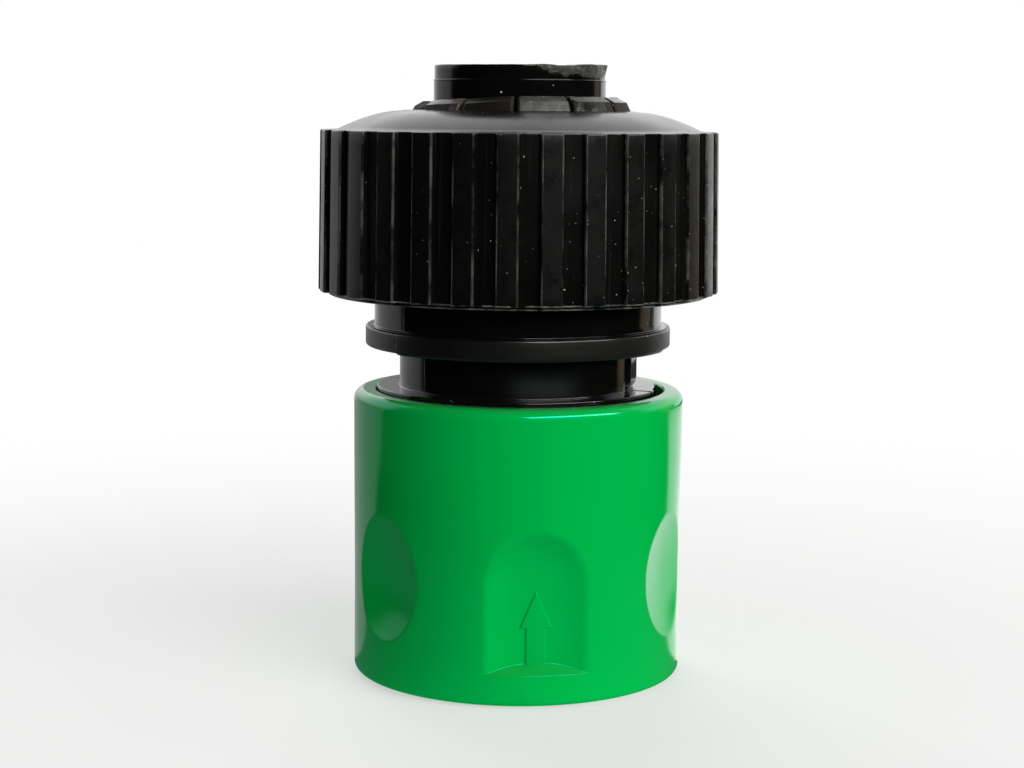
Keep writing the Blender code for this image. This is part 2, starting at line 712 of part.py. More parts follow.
def arrow_shape():
    """The raised arrow on a recess floor, which points the way the sleeve is pulled."""
    half_head = ARROW_HEAD_WIDTH / 2
    half_shaft = ARROW_SHAFT_WIDTH / 2
    outline = [
        (-half_shaft, SCOOP_LEDGE_BOTTOM),
        (half_shaft, SCOOP_LEDGE_BOTTOM),
        (half_shaft, ARROW_HEAD_BASE),
        (half_head, ARROW_HEAD_BASE),
        (0.0, ARROW_TOP),
        (-half_head, ARROW_HEAD_BASE),
        (-half_shaft, ARROW_HEAD_BASE),
    ]
    floor = sleeve_radius - SCOOP_DEPTH
    inside = cam_radius(SCOOP_LEDGE_BOTTOM) + (floor - cam_radius(SCOOP_LEDGE_BOTTOM)) / 2
    thickness = floor + ARROW_RELIEF - inside
    shape = outline_shape(outline, thickness)
    upright = Matrix(((0, 0, 1, 0), (1, 0, 0, 0), (0, 1, 0, 0), (0, 0, 0, 1)))
    shape.transform(Matrix.Translation((inside + thickness / 2, 0.0, 0.0)) @ upright)
    return shape


def make_sleeve(parts, cutters, material):
    sleeve = turned("sleeve", sleeve_profile(), SLEEVE_SIDES, parts)
    combine(sleeve, "DIFFERENCE", placed("scoops", scoop_shape(), scoop_azimuths, cutters))
    combine(sleeve, "DIFFERENCE", placed("dimples", dimple_shape(), claw_azimuths, cutters))
    combine(sleeve, "UNION", placed("arrows", arrow_shape(), scoop_azimuths, cutters))
    step = sleeve_bore - spring_bore
    guide = box_shape(
        sleeve_bore - GUIDE_RIB_HEIGHT, sleeve_bore + SLEEVE_WALL / 2,
        GUIDE_RIB_WIDTH, disc_bottom - SLEEVE_STROKE - SLIDE_GAP - step, sleeve_top - SLEEVE_TOP_RADIUS,
    )
    combine(sleeve, "UNION", placed("guide_ribs", guide, GUIDE_RIB_AZIMUTHS, cutters))
    return settle(sleeve, material)


def make_claws(parts, cutters, material):
    """Three T-shaped claws that the sleeve's cam holds in the body's windows."""
    nose = SOCKET_RADIUS - CLAW_REACH
    profile = [
        (nose + EDGE_BREAK, claw_top),
        (cam_radius(claw_top) - FIT_GAP, claw_top),
        (cam_radius(CLAW_BOTTOM) - FIT_GAP, CLAW_BOTTOM),
        (nose + CLAW_NOSE_BEVEL, CLAW_BOTTOM),
        (nose, CLAW_BOTTOM + CLAW_NOSE_BEVEL),
        (nose, claw_top - EDGE_BREAK),
    ]
    stem = CLAW_WIDTH / 2
    wing = CLAW_WING_WIDTH / 2
    wing_start = socket_outer + FIT_GAP
    outline = [
        (nose / 2, -stem),
        (wing_start, -stem),
        (wing_start, -wing),
        (sleeve_radius, -wing),
        (sleeve_radius, wing),
        (wing_start, wing),
        (wing_start, stem),
        (nose / 2, stem),
    ]
    plan = outline_shape(outline, 2 * claw_top)
    plan.transform(Matrix.Translation((0.0, 0.0, claw_top / 2)))
    template = turned("claw_1", profile, SLEEVE_SIDES, parts)
    combine(template, "INTERSECT", placed("claw_plan", plan, [90.0], cutters))
    settle(template, material)
    claws = [template]
    for number in range(2, RECESS_COUNT + 1):
        claws.append(new_object(f"claw_{number}", template.data, parts))
    for claw, azimuth in zip(claws, claw_azimuths):
        claw.rotation_euler = (0.0, 0.0, math.radians(azimuth - 90.0))
    return claws


def spring_height(turn, low, high):
    """Height of the wire's centre after a number of turns: closed coils at both ends."""
    closed = WIRE_DIAMETER + SPRING_END_GAP
    open_pitch = (high - low - 2 * closed) / (SPRING_TURNS - 2)
    if turn <= 1.0:
        return low + closed * turn
    if turn >= SPRING_TURNS - 1.0:
        return high - closed * (SPRING_TURNS - turn)
    return low + closed + open_pitch * (turn - 1.0)


def make_spring(parts, material):
    low = shelf_top + FIT_GAP + WIRE_DIAMETER / 2
    high = disc_bottom - FIT_GAP - WIRE_DIAMETER / 2
    curve = bpy.data.curves.new("return_spring", "CURVE")
    curve.dimensions = "3D"
    curve.bevel_depth = WIRE_DIAMETER / 2
    curve.bevel_resolution = WIRE_RESOLUTION
    curve.use_fill_caps = True
    count = SPRING_TURNS * SPRING_SIDES + 1
    spline = curve.splines.new("POLY")
    spline.points.add(count - 1)
    for i, point in enumerate(spline.points):
        turn = i / SPRING_SIDES
        angle = 2 * math.pi * turn
        height = spring_height(turn, low, high)
        point.co = (spring_radius * math.cos(angle), spring_radius * math.sin(angle), height, 1.0)
    wire = new_object("wire", curve, parts)
    view = bpy.context.evaluated_depsgraph_get()
    mesh = bpy.data.meshes.new_from_object(wire.evaluated_get(view))
    bpy.data.objects.remove(wire, do_unlink=True)
    shape = bmesh.new()
    shape.from_mesh(mesh)
    bmesh.ops.remove_doubles(shape, verts=shape.verts, dist=WELD_DISTANCE)
    shape.to_mesh(mesh)
    shape.free()
    spring = new_object("return_spring", mesh, parts)
    return settle(spring, material)


clear_scene()
parts = new_collection("garden hose quick connector")
cutters = new_collection("cutters")
black = plastic("black plastic", (0.012, 0.012, 0.011), 0.35)
green = plastic("green plastic", (0.0, 0.36, 0.055), 0.22)
white = plastic("claw plastic", (0.55, 0.55, 0.52), 0.4)
steel = plastic("spring steel", (0.55, 0.54, 0.52), 0.3, 1.0)

make_body(parts, cutters, black)
make_nut(parts, cutters, black)
make_grip_ring(parts, cutters, black)
make_sleeve(parts, cutters, green)
make_claws(parts, cutters, white)
make_spring(parts, steel)
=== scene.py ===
import math
from types import SimpleNamespace
import bmesh
import bpy
import numpy as np
from mathutils import Matrix, Vector


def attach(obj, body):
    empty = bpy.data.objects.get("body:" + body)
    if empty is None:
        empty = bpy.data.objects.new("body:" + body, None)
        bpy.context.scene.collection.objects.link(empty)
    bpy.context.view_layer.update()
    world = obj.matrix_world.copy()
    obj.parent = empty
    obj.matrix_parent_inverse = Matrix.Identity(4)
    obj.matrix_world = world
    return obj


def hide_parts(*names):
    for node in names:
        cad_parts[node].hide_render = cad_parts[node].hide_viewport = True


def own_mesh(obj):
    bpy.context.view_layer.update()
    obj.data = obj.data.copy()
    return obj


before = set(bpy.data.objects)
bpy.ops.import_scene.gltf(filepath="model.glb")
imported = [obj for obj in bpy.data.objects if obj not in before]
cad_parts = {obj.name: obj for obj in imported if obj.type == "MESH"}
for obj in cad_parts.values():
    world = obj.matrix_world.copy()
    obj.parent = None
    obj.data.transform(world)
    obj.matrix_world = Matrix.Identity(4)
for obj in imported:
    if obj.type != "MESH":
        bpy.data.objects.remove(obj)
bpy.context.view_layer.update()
print("frame loaded")

mm = 0.001


# ---- shared shape helpers: lengths in mm until the mesh is made
def roundedSection(corners, steps=4):
    # closed outline of (radius, height, fillet); a corner without a fillet stays sharp
    points = []
    count = len(corners)
    for i, (r, z, *fillet) in enumerate(corners):
        here = Vector((r, z))
        if not fillet:
            points.append((r, z))
            continue
        before = Vector(corners[i - 1][:2]) - here
        after = Vector(corners[(i + 1) % count][:2]) - here
        reach = min(before.length, after.length) * 0.49
        angle = before.angle(after)
        cut = min(fillet[0] / math.tan(angle / 2), reach)
        radius = cut * math.tan(angle / 2)
        middle = (before.normalized() + after.normalized()).normalized() * (radius / math.sin(angle / 2))
        centre = here + middle
        start = here + before.normalized() * cut - centre
        end = here + after.normalized() * cut - centre
        for k in range(steps + 1):
            share = k / steps
            spoke = start.slerp(end, share) if start.angle(end) > 1e-4 else start
            spot = centre + spoke.normalized() * radius
            points.append((spot.x, spot.y))
    return points


def addRows(points, longest):
    # splits long straight stretches, so that bends and noise have points to move
    dense = []
    for (r0, z0), (r1, z1) in zip(points, points[1:] + points[:1]):
        pieces = max(1, math.ceil(math.hypot(r1 - r0, z1 - z0) / longest))
        for k in range(pieces):
            share = k / pieces
            dense.append((r0 + (r1 - r0) * share, z0 + (z1 - z0) * share))
    return dense


def turnedGrid(section, azimuths):
    # radius, height and azimuth of every point of a turned section
    rows = np.array(section, float)
    turn = np.radians(np.array(azimuths, float))
    radius, height = (np.repeat(rows[:, k, None], len(turn), 1) for k in (0, 1))
    return radius, height, np.repeat(turn[None, :], len(rows), 0)


def shaded(mesh, sharp):
    # smooth, with edges steeper than sharp degrees kept hard
    mesh.shade_smooth()
    mesh.set_sharp_from_angle(angle=math.radians(sharp))
    return mesh


def gridMesh(name, radius, height, azimuth, closedTurn=True, sharp=38):
    # azimuth 0 is the front (-Y) and grows towards +X
    rows, columns = radius.shape
    points = np.stack([radius * np.sin(azimuth), -radius * np.cos(azimuth), height], -1) * mm
    index = np.arange(rows * columns).reshape(rows, columns)
    down = np.roll(index, -1, 0)
    corners = [index, down, np.roll(down, -1, 1), np.roll(index, -1, 1)]
    if not closedTurn:
        corners = [corner[:, :-1] for corner in corners]
    faces = np.stack(corners, -1).reshape(-1, 4).tolist()
    if not closedTurn:
        faces += [index[:, 0].tolist(), index[::-1, -1].tolist()]
    mesh = bpy.data.meshes.new(name)
    mesh.from_pydata(points.reshape(-1, 3).tolist(), [], faces)
    mesh.update()
    return shaded(mesh, sharp)


def addObject(name, data):
    made = bpy.data.objects.new(name, data)
    bpy.context.scene.collection.objects.link(made)
    return made


def addPiece(name, mesh, material, rider, slot, *nodes):
    piece = addObject(name, mesh)
    piece.data.materials.clear()
    piece.data.materials.append(material)
    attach(piece, rider)
    if nodes:
        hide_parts(*nodes)
    return piece


def around(azimuth, centre):
    # azimuths in degrees measured from a centre line, wrapped to -180..180
    return (np.degrees(azimuth) - centre + 180) % 360 - 180


def softMax(a, b, blend):
    h = np.clip(0.5 + 0.5 * (a - b) / blend, 0, 1)
    return b + (a - b) * h + blend * h * (1 - h)


def softMin(a, b, blend):
    return -softMax(-a, -b, blend)


def ease(value, low, high):
    t = np.clip((value - low) / (high - low), 0, 1)
    return t * t * (3 - 2 * t)


def between(value, riseFrom, riseTo, fallFrom, fallTo):
    # 1 between two places, eased to 0 outside them
    return ease(value, riseFrom, riseTo) * (1 - ease(value, fallFrom, fallTo))


def hump(value, half):
    # a bell of height 1 about 0
    return np.exp(-(value / half) ** 2)


def ripple(azimuth, seed, waves=((3, 1), (7, 0.6), (13, 0.45), (29, 0.3), (53, 0.22), (97, 0.15))):
    # a repeatable rough line around the part
    total = np.zeros_like(azimuth)
    for k, (frequency, height) in enumerate(waves):
        total += height * np.sin(frequency * azimuth + seed * (1.7 + k * 0.91) + k * 2.3)
    return total


def meshFrom(shape, name):
    made = bpy.data.meshes.new(name)
    shape.to_mesh(made)
    shape.free()
    return made


def mergeMeshes(name, meshes):
    joined = bmesh.new()
    for mesh in meshes:
        joined.from_mesh(mesh)
    made = meshFrom(joined, name)
    for mesh in meshes:
        bpy.data.meshes.remove(mesh)
    return made


# ---- plastics: short wrappers around shader nodes first
def plug(tree, socket, value):
    # a value is a number, a colour or another node's output
    if isinstance(value, bpy.types.NodeSocket):
        tree.links.new(value, socket)
    elif socket.type == "RGBA":
        socket.default_value = (*value, 1)
    else:
        socket.default_value = value


def addNode(tree, kind, inputs=(), **settings):
    # inputs are given in order or by name
    node = tree.nodes.new("ShaderNode" + kind)
    for setting, value in settings.items():
        setattr(node, setting, value)
    if isinstance(inputs, dict):
        pairs = [(node.inputs[name], value) for name, value in inputs.items()]
    else:
        pairs = zip([socket for socket in node.inputs if socket.enabled], inputs)
    for socket, value in pairs:
        plug(tree, socket, value)
    return node


def calc(tree, operation, *values):
    return addNode(tree, "Math", values, operation=operation).outputs[0]


def ramp(tree, value, low, high, toLow=0, toHigh=1):
    inputs = (value, low, high, toLow, toHigh)
    return addNode(tree, "MapRange", inputs, interpolation_type="SMOOTHSTEP").outputs[0]


def steps(tree, value, level, *changes):
    # starts at a level and changes to the next one between two values
    for low, high, nextLevel in changes:
        level = ramp(tree, value, low, high, level, nextLevel)
    return level


def mixColour(tree, share, first, second):
    node = addNode(tree, "Mix", (share, first, second), data_type="RGBA")
    return [socket for socket in node.outputs if socket.enabled][0]


def mixValue(tree, share, first, second):
    # first + share * (second - first)
    return calc(tree, "MULTIPLY_ADD", share, calc(tree, "SUBTRACT", second, first), first)


def noise(tree, vector, scale, detail=3, roughness=0.55):
    return addNode(tree, "TexNoise", (vector, scale, detail, roughness)).outputs["Fac"]


def bump(tree, height, distance, normal=None, invert=False):
    inputs = {"Height": height, "Distance": distance}
    if normal is not None:
        inputs["Normal"] = normal
    return addNode(tree, "Bump", inputs, invert=invert).outputs["Normal"]


def splitVector(tree, vector):
    return tuple(addNode(tree, "SeparateXYZ", (vector,)).outputs)


def partSpot(tree):
    # the place on the part, in metres
    return addNode(tree, "TexCoord").outputs["Object"]


def newMaterial(name):
    material = bpy.data.materials.new(name)
    material.use_nodes = True
    return material, material.node_tree


def turnedPlace(tree, x, y):
    # radius, and azimuth in degrees from the front (-Y) towards +X
    radius = calc(tree, "SQRT", calc(tree, "MULTIPLY_ADD", x, x, calc(tree, "MULTIPLY", y, y)))
    angle = calc(tree, "ARCTAN2", x, calc(tree, "MULTIPLY", y, -1))
    return radius, calc(tree, "MULTIPLY", angle, 180 / math.pi)


surface = dict(
    filmScale=420, filmUpward=(0.35, 0.98), filmPatches=(0.3, 0.72, 0.6, 1.4), driftGloss=(0.8, 1.25),
    streakScale=(2400, 2400, 60), hairTurn=(0.5, 0.3, 0.7), hairScale=(2600, 2600, 90), hairCover=(0.66, 0.74),
    markAndSheenGrain=(0.36, 0.64), markAndSheenSoft=0.02, jagScale=1800, speckPlace=(-0.012, 0.012), speckShare=(0.35, 1.5),
    speckSize=(0.6, 0.4), speckTone=(0.75, 0.25),
)


def speckle(tree, spot, x, scale, share, size):
    # a few cells of a cell pattern hold one dot each, more of them towards +X
    cells = addNode(tree, "TexVoronoi", (spot, scale))
    draw = addNode(tree, "SeparateColor", (cells.outputs["Color"],))
    chance = ramp(tree, x, *surface["speckPlace"], *[share * part for part in surface["speckShare"]])
    picked = calc(tree, "LESS_THAN", draw.outputs["Red"], chance)
    dotSize = calc(tree, "MULTIPLY_ADD", draw.outputs["Blue"], *[size * part for part in surface["speckSize"]])
    dot = calc(tree, "LESS_THAN", cells.outputs["Distance"], dotSize)
    tone = calc(tree, "MULTIPLY_ADD", draw.outputs["Green"], *surface["speckTone"])
    return calc(tree, "MULTIPLY", calc(tree, "MULTIPLY", picked, dot), tone)


def markAndSheenMask(tree, spot, place, markAndSheenPatch):
    # 1 inside a patch given in azimuth (deg), height and radius (mm), with ragged ends and gaps in its cover
    jag = calc(tree, "SUBTRACT", noise(tree, spot, markAndSheenPatch.get("jagScale", surface["jagScale"]), 4, 0.7), 0.5)
    mask = None
    for key, unit in (("azimuth", 1), ("ribOffset", 1), ("height", mm), ("radius", mm)):
        if key not in markAndSheenPatch:
            continue
        middle, half, ragged = markAndSheenPatch[key]
        value = place[key]
        if key == "azimuth" and "slant" in markAndSheenPatch:
            lean = markAndSheenPatch["slant"] / mm
            shift = calc(tree, "MULTIPLY_ADD", place["height"], lean, -lean * markAndSheenPatch["slantFrom"] * mm)
            value = calc(tree, "ADD", value, shift)
        value = calc(tree, "MULTIPLY_ADD", jag, ragged * unit, value)
        away = calc(tree, "ABSOLUTE", calc(tree, "SUBTRACT", value, middle * unit))
        soft = markAndSheenPatch.get("soft", {}).get(key, surface["markAndSheenSoft"])
        inside = ramp(tree, away, (half - soft) * unit, half * unit, 1, 0)
        mask = inside if mask is None else calc(tree, "MULTIPLY", mask, inside)
    low, high = markAndSheenPatch["cover"]
    gaps = ramp(tree, noise(tree, spot, markAndSheenPatch["scale"], 5, 0.65), low, high)
    return calc(tree, "MULTIPLY", mask, gaps)


def mouldedPlastic(name, settings):
    look = SimpleNamespace(**settings)
    material, tree = newMaterial(name)
    shader = tree.nodes["Principled BSDF"]
    shader.inputs["IOR"].default_value = look.ior
    shader.inputs["Specular IOR Level"].default_value = look.specular
    shader.inputs["Specular Tint"].default_value = (*look.tint, 1)
    spot = partSpot(tree)
    x, y, z = splitVector(tree, spot)
    radius, azimuth = turnedPlace(tree, x, y)
    place = {"azimuth": azimuth, "height": z, "radius": radius}
    if "ribs" in settings:
        # degrees to the nearest rib's middle
        first, pitch = look.ribs
        place["ribOffset"] = calc(tree, "PINGPONG", calc(tree, "ADD", azimuth, 360 - first), pitch / 2)

    # slow drift in the pigment, and a film of fine dust, thicker on what faces up
    drift = noise(tree, spot, look.driftScale)
    colour = mixColour(tree, drift, look.colour, look.colourDrift)
    gloss = ramp(tree, drift, 0.3, 0.7, *[look.roughness * part for part in surface["driftGloss"]])
    upward = splitVector(tree, addNode(tree, "NewGeometry").outputs["Normal"])[2]
    upward = ramp(tree, upward, *surface["filmUpward"], look.filmSide, look.filmTop)
    patchy = ramp(tree, noise(tree, spot, surface["filmScale"], 6, 0.65), *surface["filmPatches"])
    film = calc(tree, "MULTIPLY", upward, patchy)
    colour = mixColour(tree, film, colour, look.dust)
    roughness = calc(tree, "MULTIPLY_ADD", film, look.filmRoughness, gloss)
    if "streaks" in settings:
        # upright streaks left by wear
        low, high, tone = look.streaks
        upright = addNode(tree, "Mapping", {"Vector": spot, "Scale": surface["streakScale"]})
        streak = ramp(tree, noise(tree, upright.outputs[0], 1, 4, 0.6), low, high)
        colour = mixColour(tree, streak, colour, tone)

    # worn and torn patches and other marks, and patches of painted sheen and painted highlight lines
    depth = 0
    for markAndSheenPatch in look.scuffs:
        mask = markAndSheenMask(tree, spot, place, markAndSheenPatch)
        grain = ramp(tree, noise(tree, spot, markAndSheenPatch["scale"] * 1.7, 6, 0.7), *surface["markAndSheenGrain"])
        colour = mixColour(tree, mask, colour, mixColour(tree, grain, markAndSheenPatch["dark"], markAndSheenPatch["light"]))
        roughness = mixValue(tree, mask, roughness, markAndSheenPatch["roughness"])
        depth = calc(tree, "MULTIPLY_ADD", calc(tree, "MULTIPLY", mask, grain), markAndSheenPatch["depth"], depth)

    # single pale specks
    for scale, share, size in look.specks:
        colour = mixColour(tree, speckle(tree, spot, x, scale, share, size), colour, look.speckColour)
    plug(tree, shader.inputs["Base Color"], colour)
    plug(tree, shader.inputs["Roughness"], roughness)

    # moulding waviness, fine grain, hairline scratches and the torn patches as bump
    relief = bump(tree, noise(tree, spot, look.waveScale, 1), look.waveDepth)
    relief = bump(tree, noise(tree, spot, look.grainScale, 4, 0.6), look.grainDepth, relief)
    tilt = {"Vector": spot, "Rotation": surface["hairTurn"], "Scale": surface["hairScale"]}
    hair = ramp(tree, noise(tree, addNode(tree, "Mapping", tilt).outputs[0], 1, 2), *surface["hairCover"])
    relief = bump(tree, hair, look.scratchDepth, relief, invert=True)
    if look.scuffs:
        relief = bump(tree, depth, mm, relief)
    plug(tree, shader.inputs["Normal"], relief)
    return material


greenLook = dict(
    colour=(0, 0.370, 0.050), colourDrift=(0, 0.390, 0.060), driftScale=70, ior=1.49, specular=0.5,
    tint=(0.05, 1, 1), roughness=0.12, filmSide=0, filmTop=0.02, dust=(0.30, 0.42, 0.30),
    filmRoughness=0.6, specks=[(700, 0.02, 0.12)], speckColour=(0.25, 0.75, 0.42), scuffs=[], waveScale=110,
    waveDepth=0.00004, grainScale=3500, grainDepth=0.0000012, scratchDepth=0.0000015,
)
blackLook = dict(
    colour=(0.0012, 0.0012, 0.0011), colourDrift=(0.0022, 0.0022, 0.0020), driftScale=120, ior=1.5,
    specular=0.5, tint=(1, 1, 1), roughness=0.13, filmSide=0.0015, filmTop=0.012,
    dust=(0.20, 0.195, 0.18), filmRoughness=0.8, specks=[(900, 0.05, 0.10)], speckColour=(0.30, 0.30, 0.28),
    scuffs=[], waveScale=160, waveDepth=0.00003, grainScale=4200, grainDepth=0.0000015,
    scratchDepth=0.000002,
)
# body: torn tail end, a white speck, satin flange and neck with a painted greenish sheen on the neck's front,
# mould parting lines
satin = dict(cover=(0.05, 0.15), scale=160, dark=(0.0022, 0.0023, 0.0019), light=(0.0040, 0.0042, 0.0034),
             roughness=0.38, depth=0.002)
partingLine = dict(cover=(0.05, 0.15), scale=200, dark=(0.0002, 0.0002, 0.0002),
                   light=(0.0006, 0.0006, 0.0006), roughness=0.35, depth=-0.06)
bodyLook = dict(
    blackLook,
    scuffs=[
        dict(azimuth=(66, 60, 26), slant=14, slantFrom=64.8, height=(64.40, 1, 1.1),
             soft=dict(height=0.6, azimuth=8), jagScale=800, radius=(9.3, 0.6, 0), cover=(0.34, 0.62),
             scale=800, dark=(0.0015, 0.0016, 0.0008), light=(0.024, 0.023, 0.013), roughness=0.6, depth=0.05),
        dict(azimuth=(-12.1, 0.45, 0.5), height=(62, 0.09, 0.1), radius=(9.1, 0.4, 0), cover=(0, 0.1),
             scale=900, dark=(0.5, 0.5, 0.48), light=(0.8, 0.8, 0.78), roughness=0.5, depth=0),
        dict(satin, height=(36.1, 1.15, 0.1), radius=(16.2, 0.3, 0)),
        dict(satin, height=(37.38, 0.16, 0.05), radius=(16.2, 0.35, 0), roughness=0.27, depth=0),
        # painted sheen: a soft greenish patch on the neck's front, standing in for the green sleeve's light
        # reflected there
        dict(azimuth=(12, 27, 0), height=(32.6, 2.4, 0), soft=dict(azimuth=20, height=1.8),
             radius=(12.6, 0.6, 0), cover=(0, 0.1), scale=160, dark=(0.0022, 0.0030, 0.0026),
             light=(0.0032, 0.0046, 0.0038), roughness=0.40, depth=0),
        dict(partingLine, azimuth=(-50, 0.40, 0.15), height=(36.2, 5.2, 0), radius=(14.4, 2.2, 0)),
        dict(partingLine, azimuth=(63, 0.40, 0.15), height=(37.9, 3.4, 0), radius=(14.9, 1.7, 0)),
    ],
)
# nut: worn on its ribs' faces; pale lines along their corners and its lower edges, painted as highlights with
# some wear
nutLook = dict(
    blackLook, ribs=(8.8, 12), roughness=0.22, filmSide=0.0015, filmTop=0.012,
    streaks=(0.54, 0.70, (0.0055, 0.0058, 0.0046)), specks=[(1000, 0.50, 0.10), (1700, 0.30, 0.12)],
    speckColour=(0.24, 0.24, 0.22), grainDepth=0.000003, scratchDepth=0.000004,
    scuffs=[
        dict(ribOffset=(1.2, 1.5, 0.15), radius=(22, 1.18, 0.1), height=(49.6, 8.6, 0.3), cover=(0.25, 0.55),
             scale=420, dark=(0.0010, 0.0011, 0.0010), light=(0.0024, 0.0026, 0.0021), roughness=0.31,
             depth=0.003),
        # painted highlight: pale colour along the rib corners, standing in for corner glints, roughened as
        # wear
        dict(ribOffset=(2.84, 0.30, 0.16), radius=(21.8, 1.22, 0.1), height=(49.6, 8.4, 0.4),
             cover=(0.38, 0.56), scale=190, dark=(0.012, 0.012, 0.011), light=(0.052, 0.052, 0.047),
             roughness=0.42, depth=0.004),
        # painted highlight: pale colour along the ribs' lower edge and, below it, along the lip's edge
        dict(radius=(21.8, 1.25, 0.1), height=(41.24, 0.13, 0.12), cover=(0.42, 0.52), scale=420,
             dark=(0.03, 0.03, 0.028), light=(0.14, 0.14, 0.13), roughness=0.35, depth=0.004),
        dict(radius=(20.3, 0.3, 0.1), height=(40.90, 0.09, 0.07), cover=(0.42, 0.52), scale=300,
             dark=(0.03, 0.03, 0.028), light=(0.13, 0.13, 0.12), roughness=0.35, depth=0),
    ],
)
# fingers: dark olive with dull sides and corners; the far left one, the one right of the middle and parts of
# the next one are lighter
dull = dict(cover=(0, 0.05), scale=700, dark=(0.003, 0.003, 0.002), light=(0.018, 0.014, 0.009),
            roughness=0.75, depth=0)
gripLook = dict(
    blackLook, colour=(0.0060, 0.0057, 0.0036), colourDrift=(0.013, 0.012, 0.0075), driftScale=420,
    specular=0.3, roughness=0.20, filmSide=0.002, filmTop=0.02, specks=[(1300, 0.35, 0.14)],
    grainScale=1700, grainDepth=0.000012, ribs=(-2.4, 30),
    scuffs=[
        dict(dull, azimuth=(-63, 30, 0), radius=(12.2, 1.03, 0.1)),
        dict(dull, azimuth=(-78, 15, 0), radius=(11.5, 3, 0), light=(0.030, 0.022, 0.014)),
        dict(dull, azimuth=(72, 22, 0), radius=(12.2, 1.03, 0.1)),
        dict(dull, ribOffset=(1.6, 0.95, 0.1), radius=(11.5, 3, 0), light=(0.012, 0.011, 0.008)),
        dict(azimuth=(12.8, 13, 2), radius=(11.5, 3, 0), cover=(0.20, 0.42), scale=700,
             dark=(0.026, 0.026, 0.022), light=(0.072, 0.072, 0.062), roughness=0.48, depth=0.012),
        dict(azimuth=(43, 13.5, 3), height=(60.6, 0.62, 0.3), radius=(11.5, 3, 0), cover=(0.48, 0.64),
             scale=600, dark=(0.010, 0.010, 0.008), light=(0.065, 0.065, 0.055), roughness=0.48, depth=0.012),
        dict(azimuth=(43, 14, 1), height=(61.5, 0.22, 0.15), radius=(10.5, 1.2, 0), cover=(0.25, 0.45),
             scale=700, dark=(0.05, 0.052, 0.042), light=(0.14, 0.145, 0.12), roughness=0.45, depth=0.01),
        dict(azimuth=(-36, 3.5, 2), radius=(11.5, 3, 0), cover=(0.34, 0.52), scale=900,
             dark=(0.02, 0.016, 0.010), light=(0.07, 0.06, 0.045), roughness=0.48, depth=0.01),
    ],
)
clawLook = dict(blackLook, colour=(0.60, 0.60, 0.56), colourDrift=(0.55, 0.55, 0.50), roughness=0.38,
                filmSide=0, filmTop=0.02, specks=[], speckColour=(0.3, 0.29, 0.26))

greenPlastic = mouldedPlastic("greenGlossPlastic", greenLook)
blackPlastic = mouldedPlastic("blackGlossPlastic", bodyLook)
nutPlastic = mouldedPlastic("wornNutPlasticPaintedGlints", nutLook)
gripPlastic = mouldedPlastic("wornGripPlastic", gripLook)
clawPlastic = mouldedPlastic("naturalWhitePlastic", clawLook)


steel = dict(grainScale=900, dark=(0.50, 0.49, 0.47), light=(0.66, 0.65, 0.62), roughness=(0.22, 0.40))


def springSteel():
    material, tree = newMaterial("springSteel")
    shader = tree.nodes["Principled BSDF"]
    shader.inputs["Metallic"].default_value = 1
    streak = noise(tree, partSpot(tree), steel["grainScale"])
    plug(tree, shader.inputs["Base Color"], mixColour(tree, streak, steel["dark"], steel["light"]))
    plug(tree, shader.inputs["Roughness"], ramp(tree, streak, 0, 1, *steel["roughness"]))
    return material


steelWire = springSteel()
print("plastics ready")


# ---- sleeve
sleeve = dict(
    radius=17.6, lean=0.12, boreLean=0.24, bottom=0.3, top=30.65, topRound=1.15, bottomRound=0.65, bore=15.4,
    springBore=14.8, boreStep=22.6, shelfTop=14.3, shelfBottom=12.5, shelfRadius=12.3, camTopRadius=13.3,
    camTop=9, camSlope=0.3, scoopAzimuth=6.8, scoopHalf=5.25, scoopDepth=1.4, scoopArchFoot=12.5,
    scoopArchHeight=5.6, scoopFullness=2.5, scoopSoft=0.34, ledgeBottom=3.56, ledgeRise=0.94, ledgeSoft=0.05,
    dimpleAzimuth=-53.1, dimpleHalf=5.3, dimpleHalfHeight=6.6, dimpleMiddle=11.8, dimpleDepth=1.06,
    dimpleSoft=0.06, shoulder=0.17, shoulderReach=0.8, guideAzimuths=(84, 204, 324), guideHalf=1.8,
    guideHeight=0.55, guideTop=29.3, arrowTip=11.9, arrowBase=8.2, arrowHead=3.2, arrowShaft=2,
    arrowRelief=0.16, arrowTaper=0.40, arrowRound=0.10,
)


def sleeveRecess(azimuth, height):
    # how far the outside is sunk at each point
    s = SimpleNamespace(**sleeve)
    sunk = np.zeros_like(height)
    for turn in range(3):
        along = np.radians(around(azimuth, s.scoopAzimuth + 120 * turn)) * s.radius
        rise = np.maximum(height - s.scoopArchFoot, 0)
        reach = np.hypot(along / s.scoopHalf, rise / s.scoopArchHeight)
        trough = s.scoopDepth * (1 - reach ** s.scoopFullness)
        trough = softMax(trough, 0, s.scoopSoft)
        ledge = (height - s.ledgeBottom) / s.ledgeRise * s.scoopDepth
        ledge = softMax(ledge, 0, s.ledgeSoft)
        sunk = np.maximum(sunk, softMin(trough, ledge, s.ledgeSoft))
        across = np.radians(around(azimuth, s.dimpleAzimuth + 120 * turn)) * s.radius
        reach = np.hypot(across / s.dimpleHalf, (height - s.dimpleMiddle) / s.dimpleHalfHeight)
        dish = softMax(s.dimpleDepth * (1 - reach ** 2), 0, s.dimpleSoft)
        skirt = s.shoulder * hump(np.maximum(reach - 1, 0), s.shoulderReach)
        sunk = np.maximum(sunk, dish + skirt)
    return sunk


def sleeveColumns():
    # azimuths of one third, closest together at the recess edges
    zones = [(-60, -43, 0.55), (-43, -21, 1.7), (-21, -14, 0.45), (-14, 14, 1.1), (14, 21, 0.45),
             (21, 43, 1.7), (43, 60, 0.55)]
    third = []
    for low, high, step in zones:
        count = round((high - low) / step)
        third += [low + (high - low) * k / count for k in range(count)]
    return [sleeve["scoopAzimuth"] + 120 * turn + a for turn in range(3) for a in third]


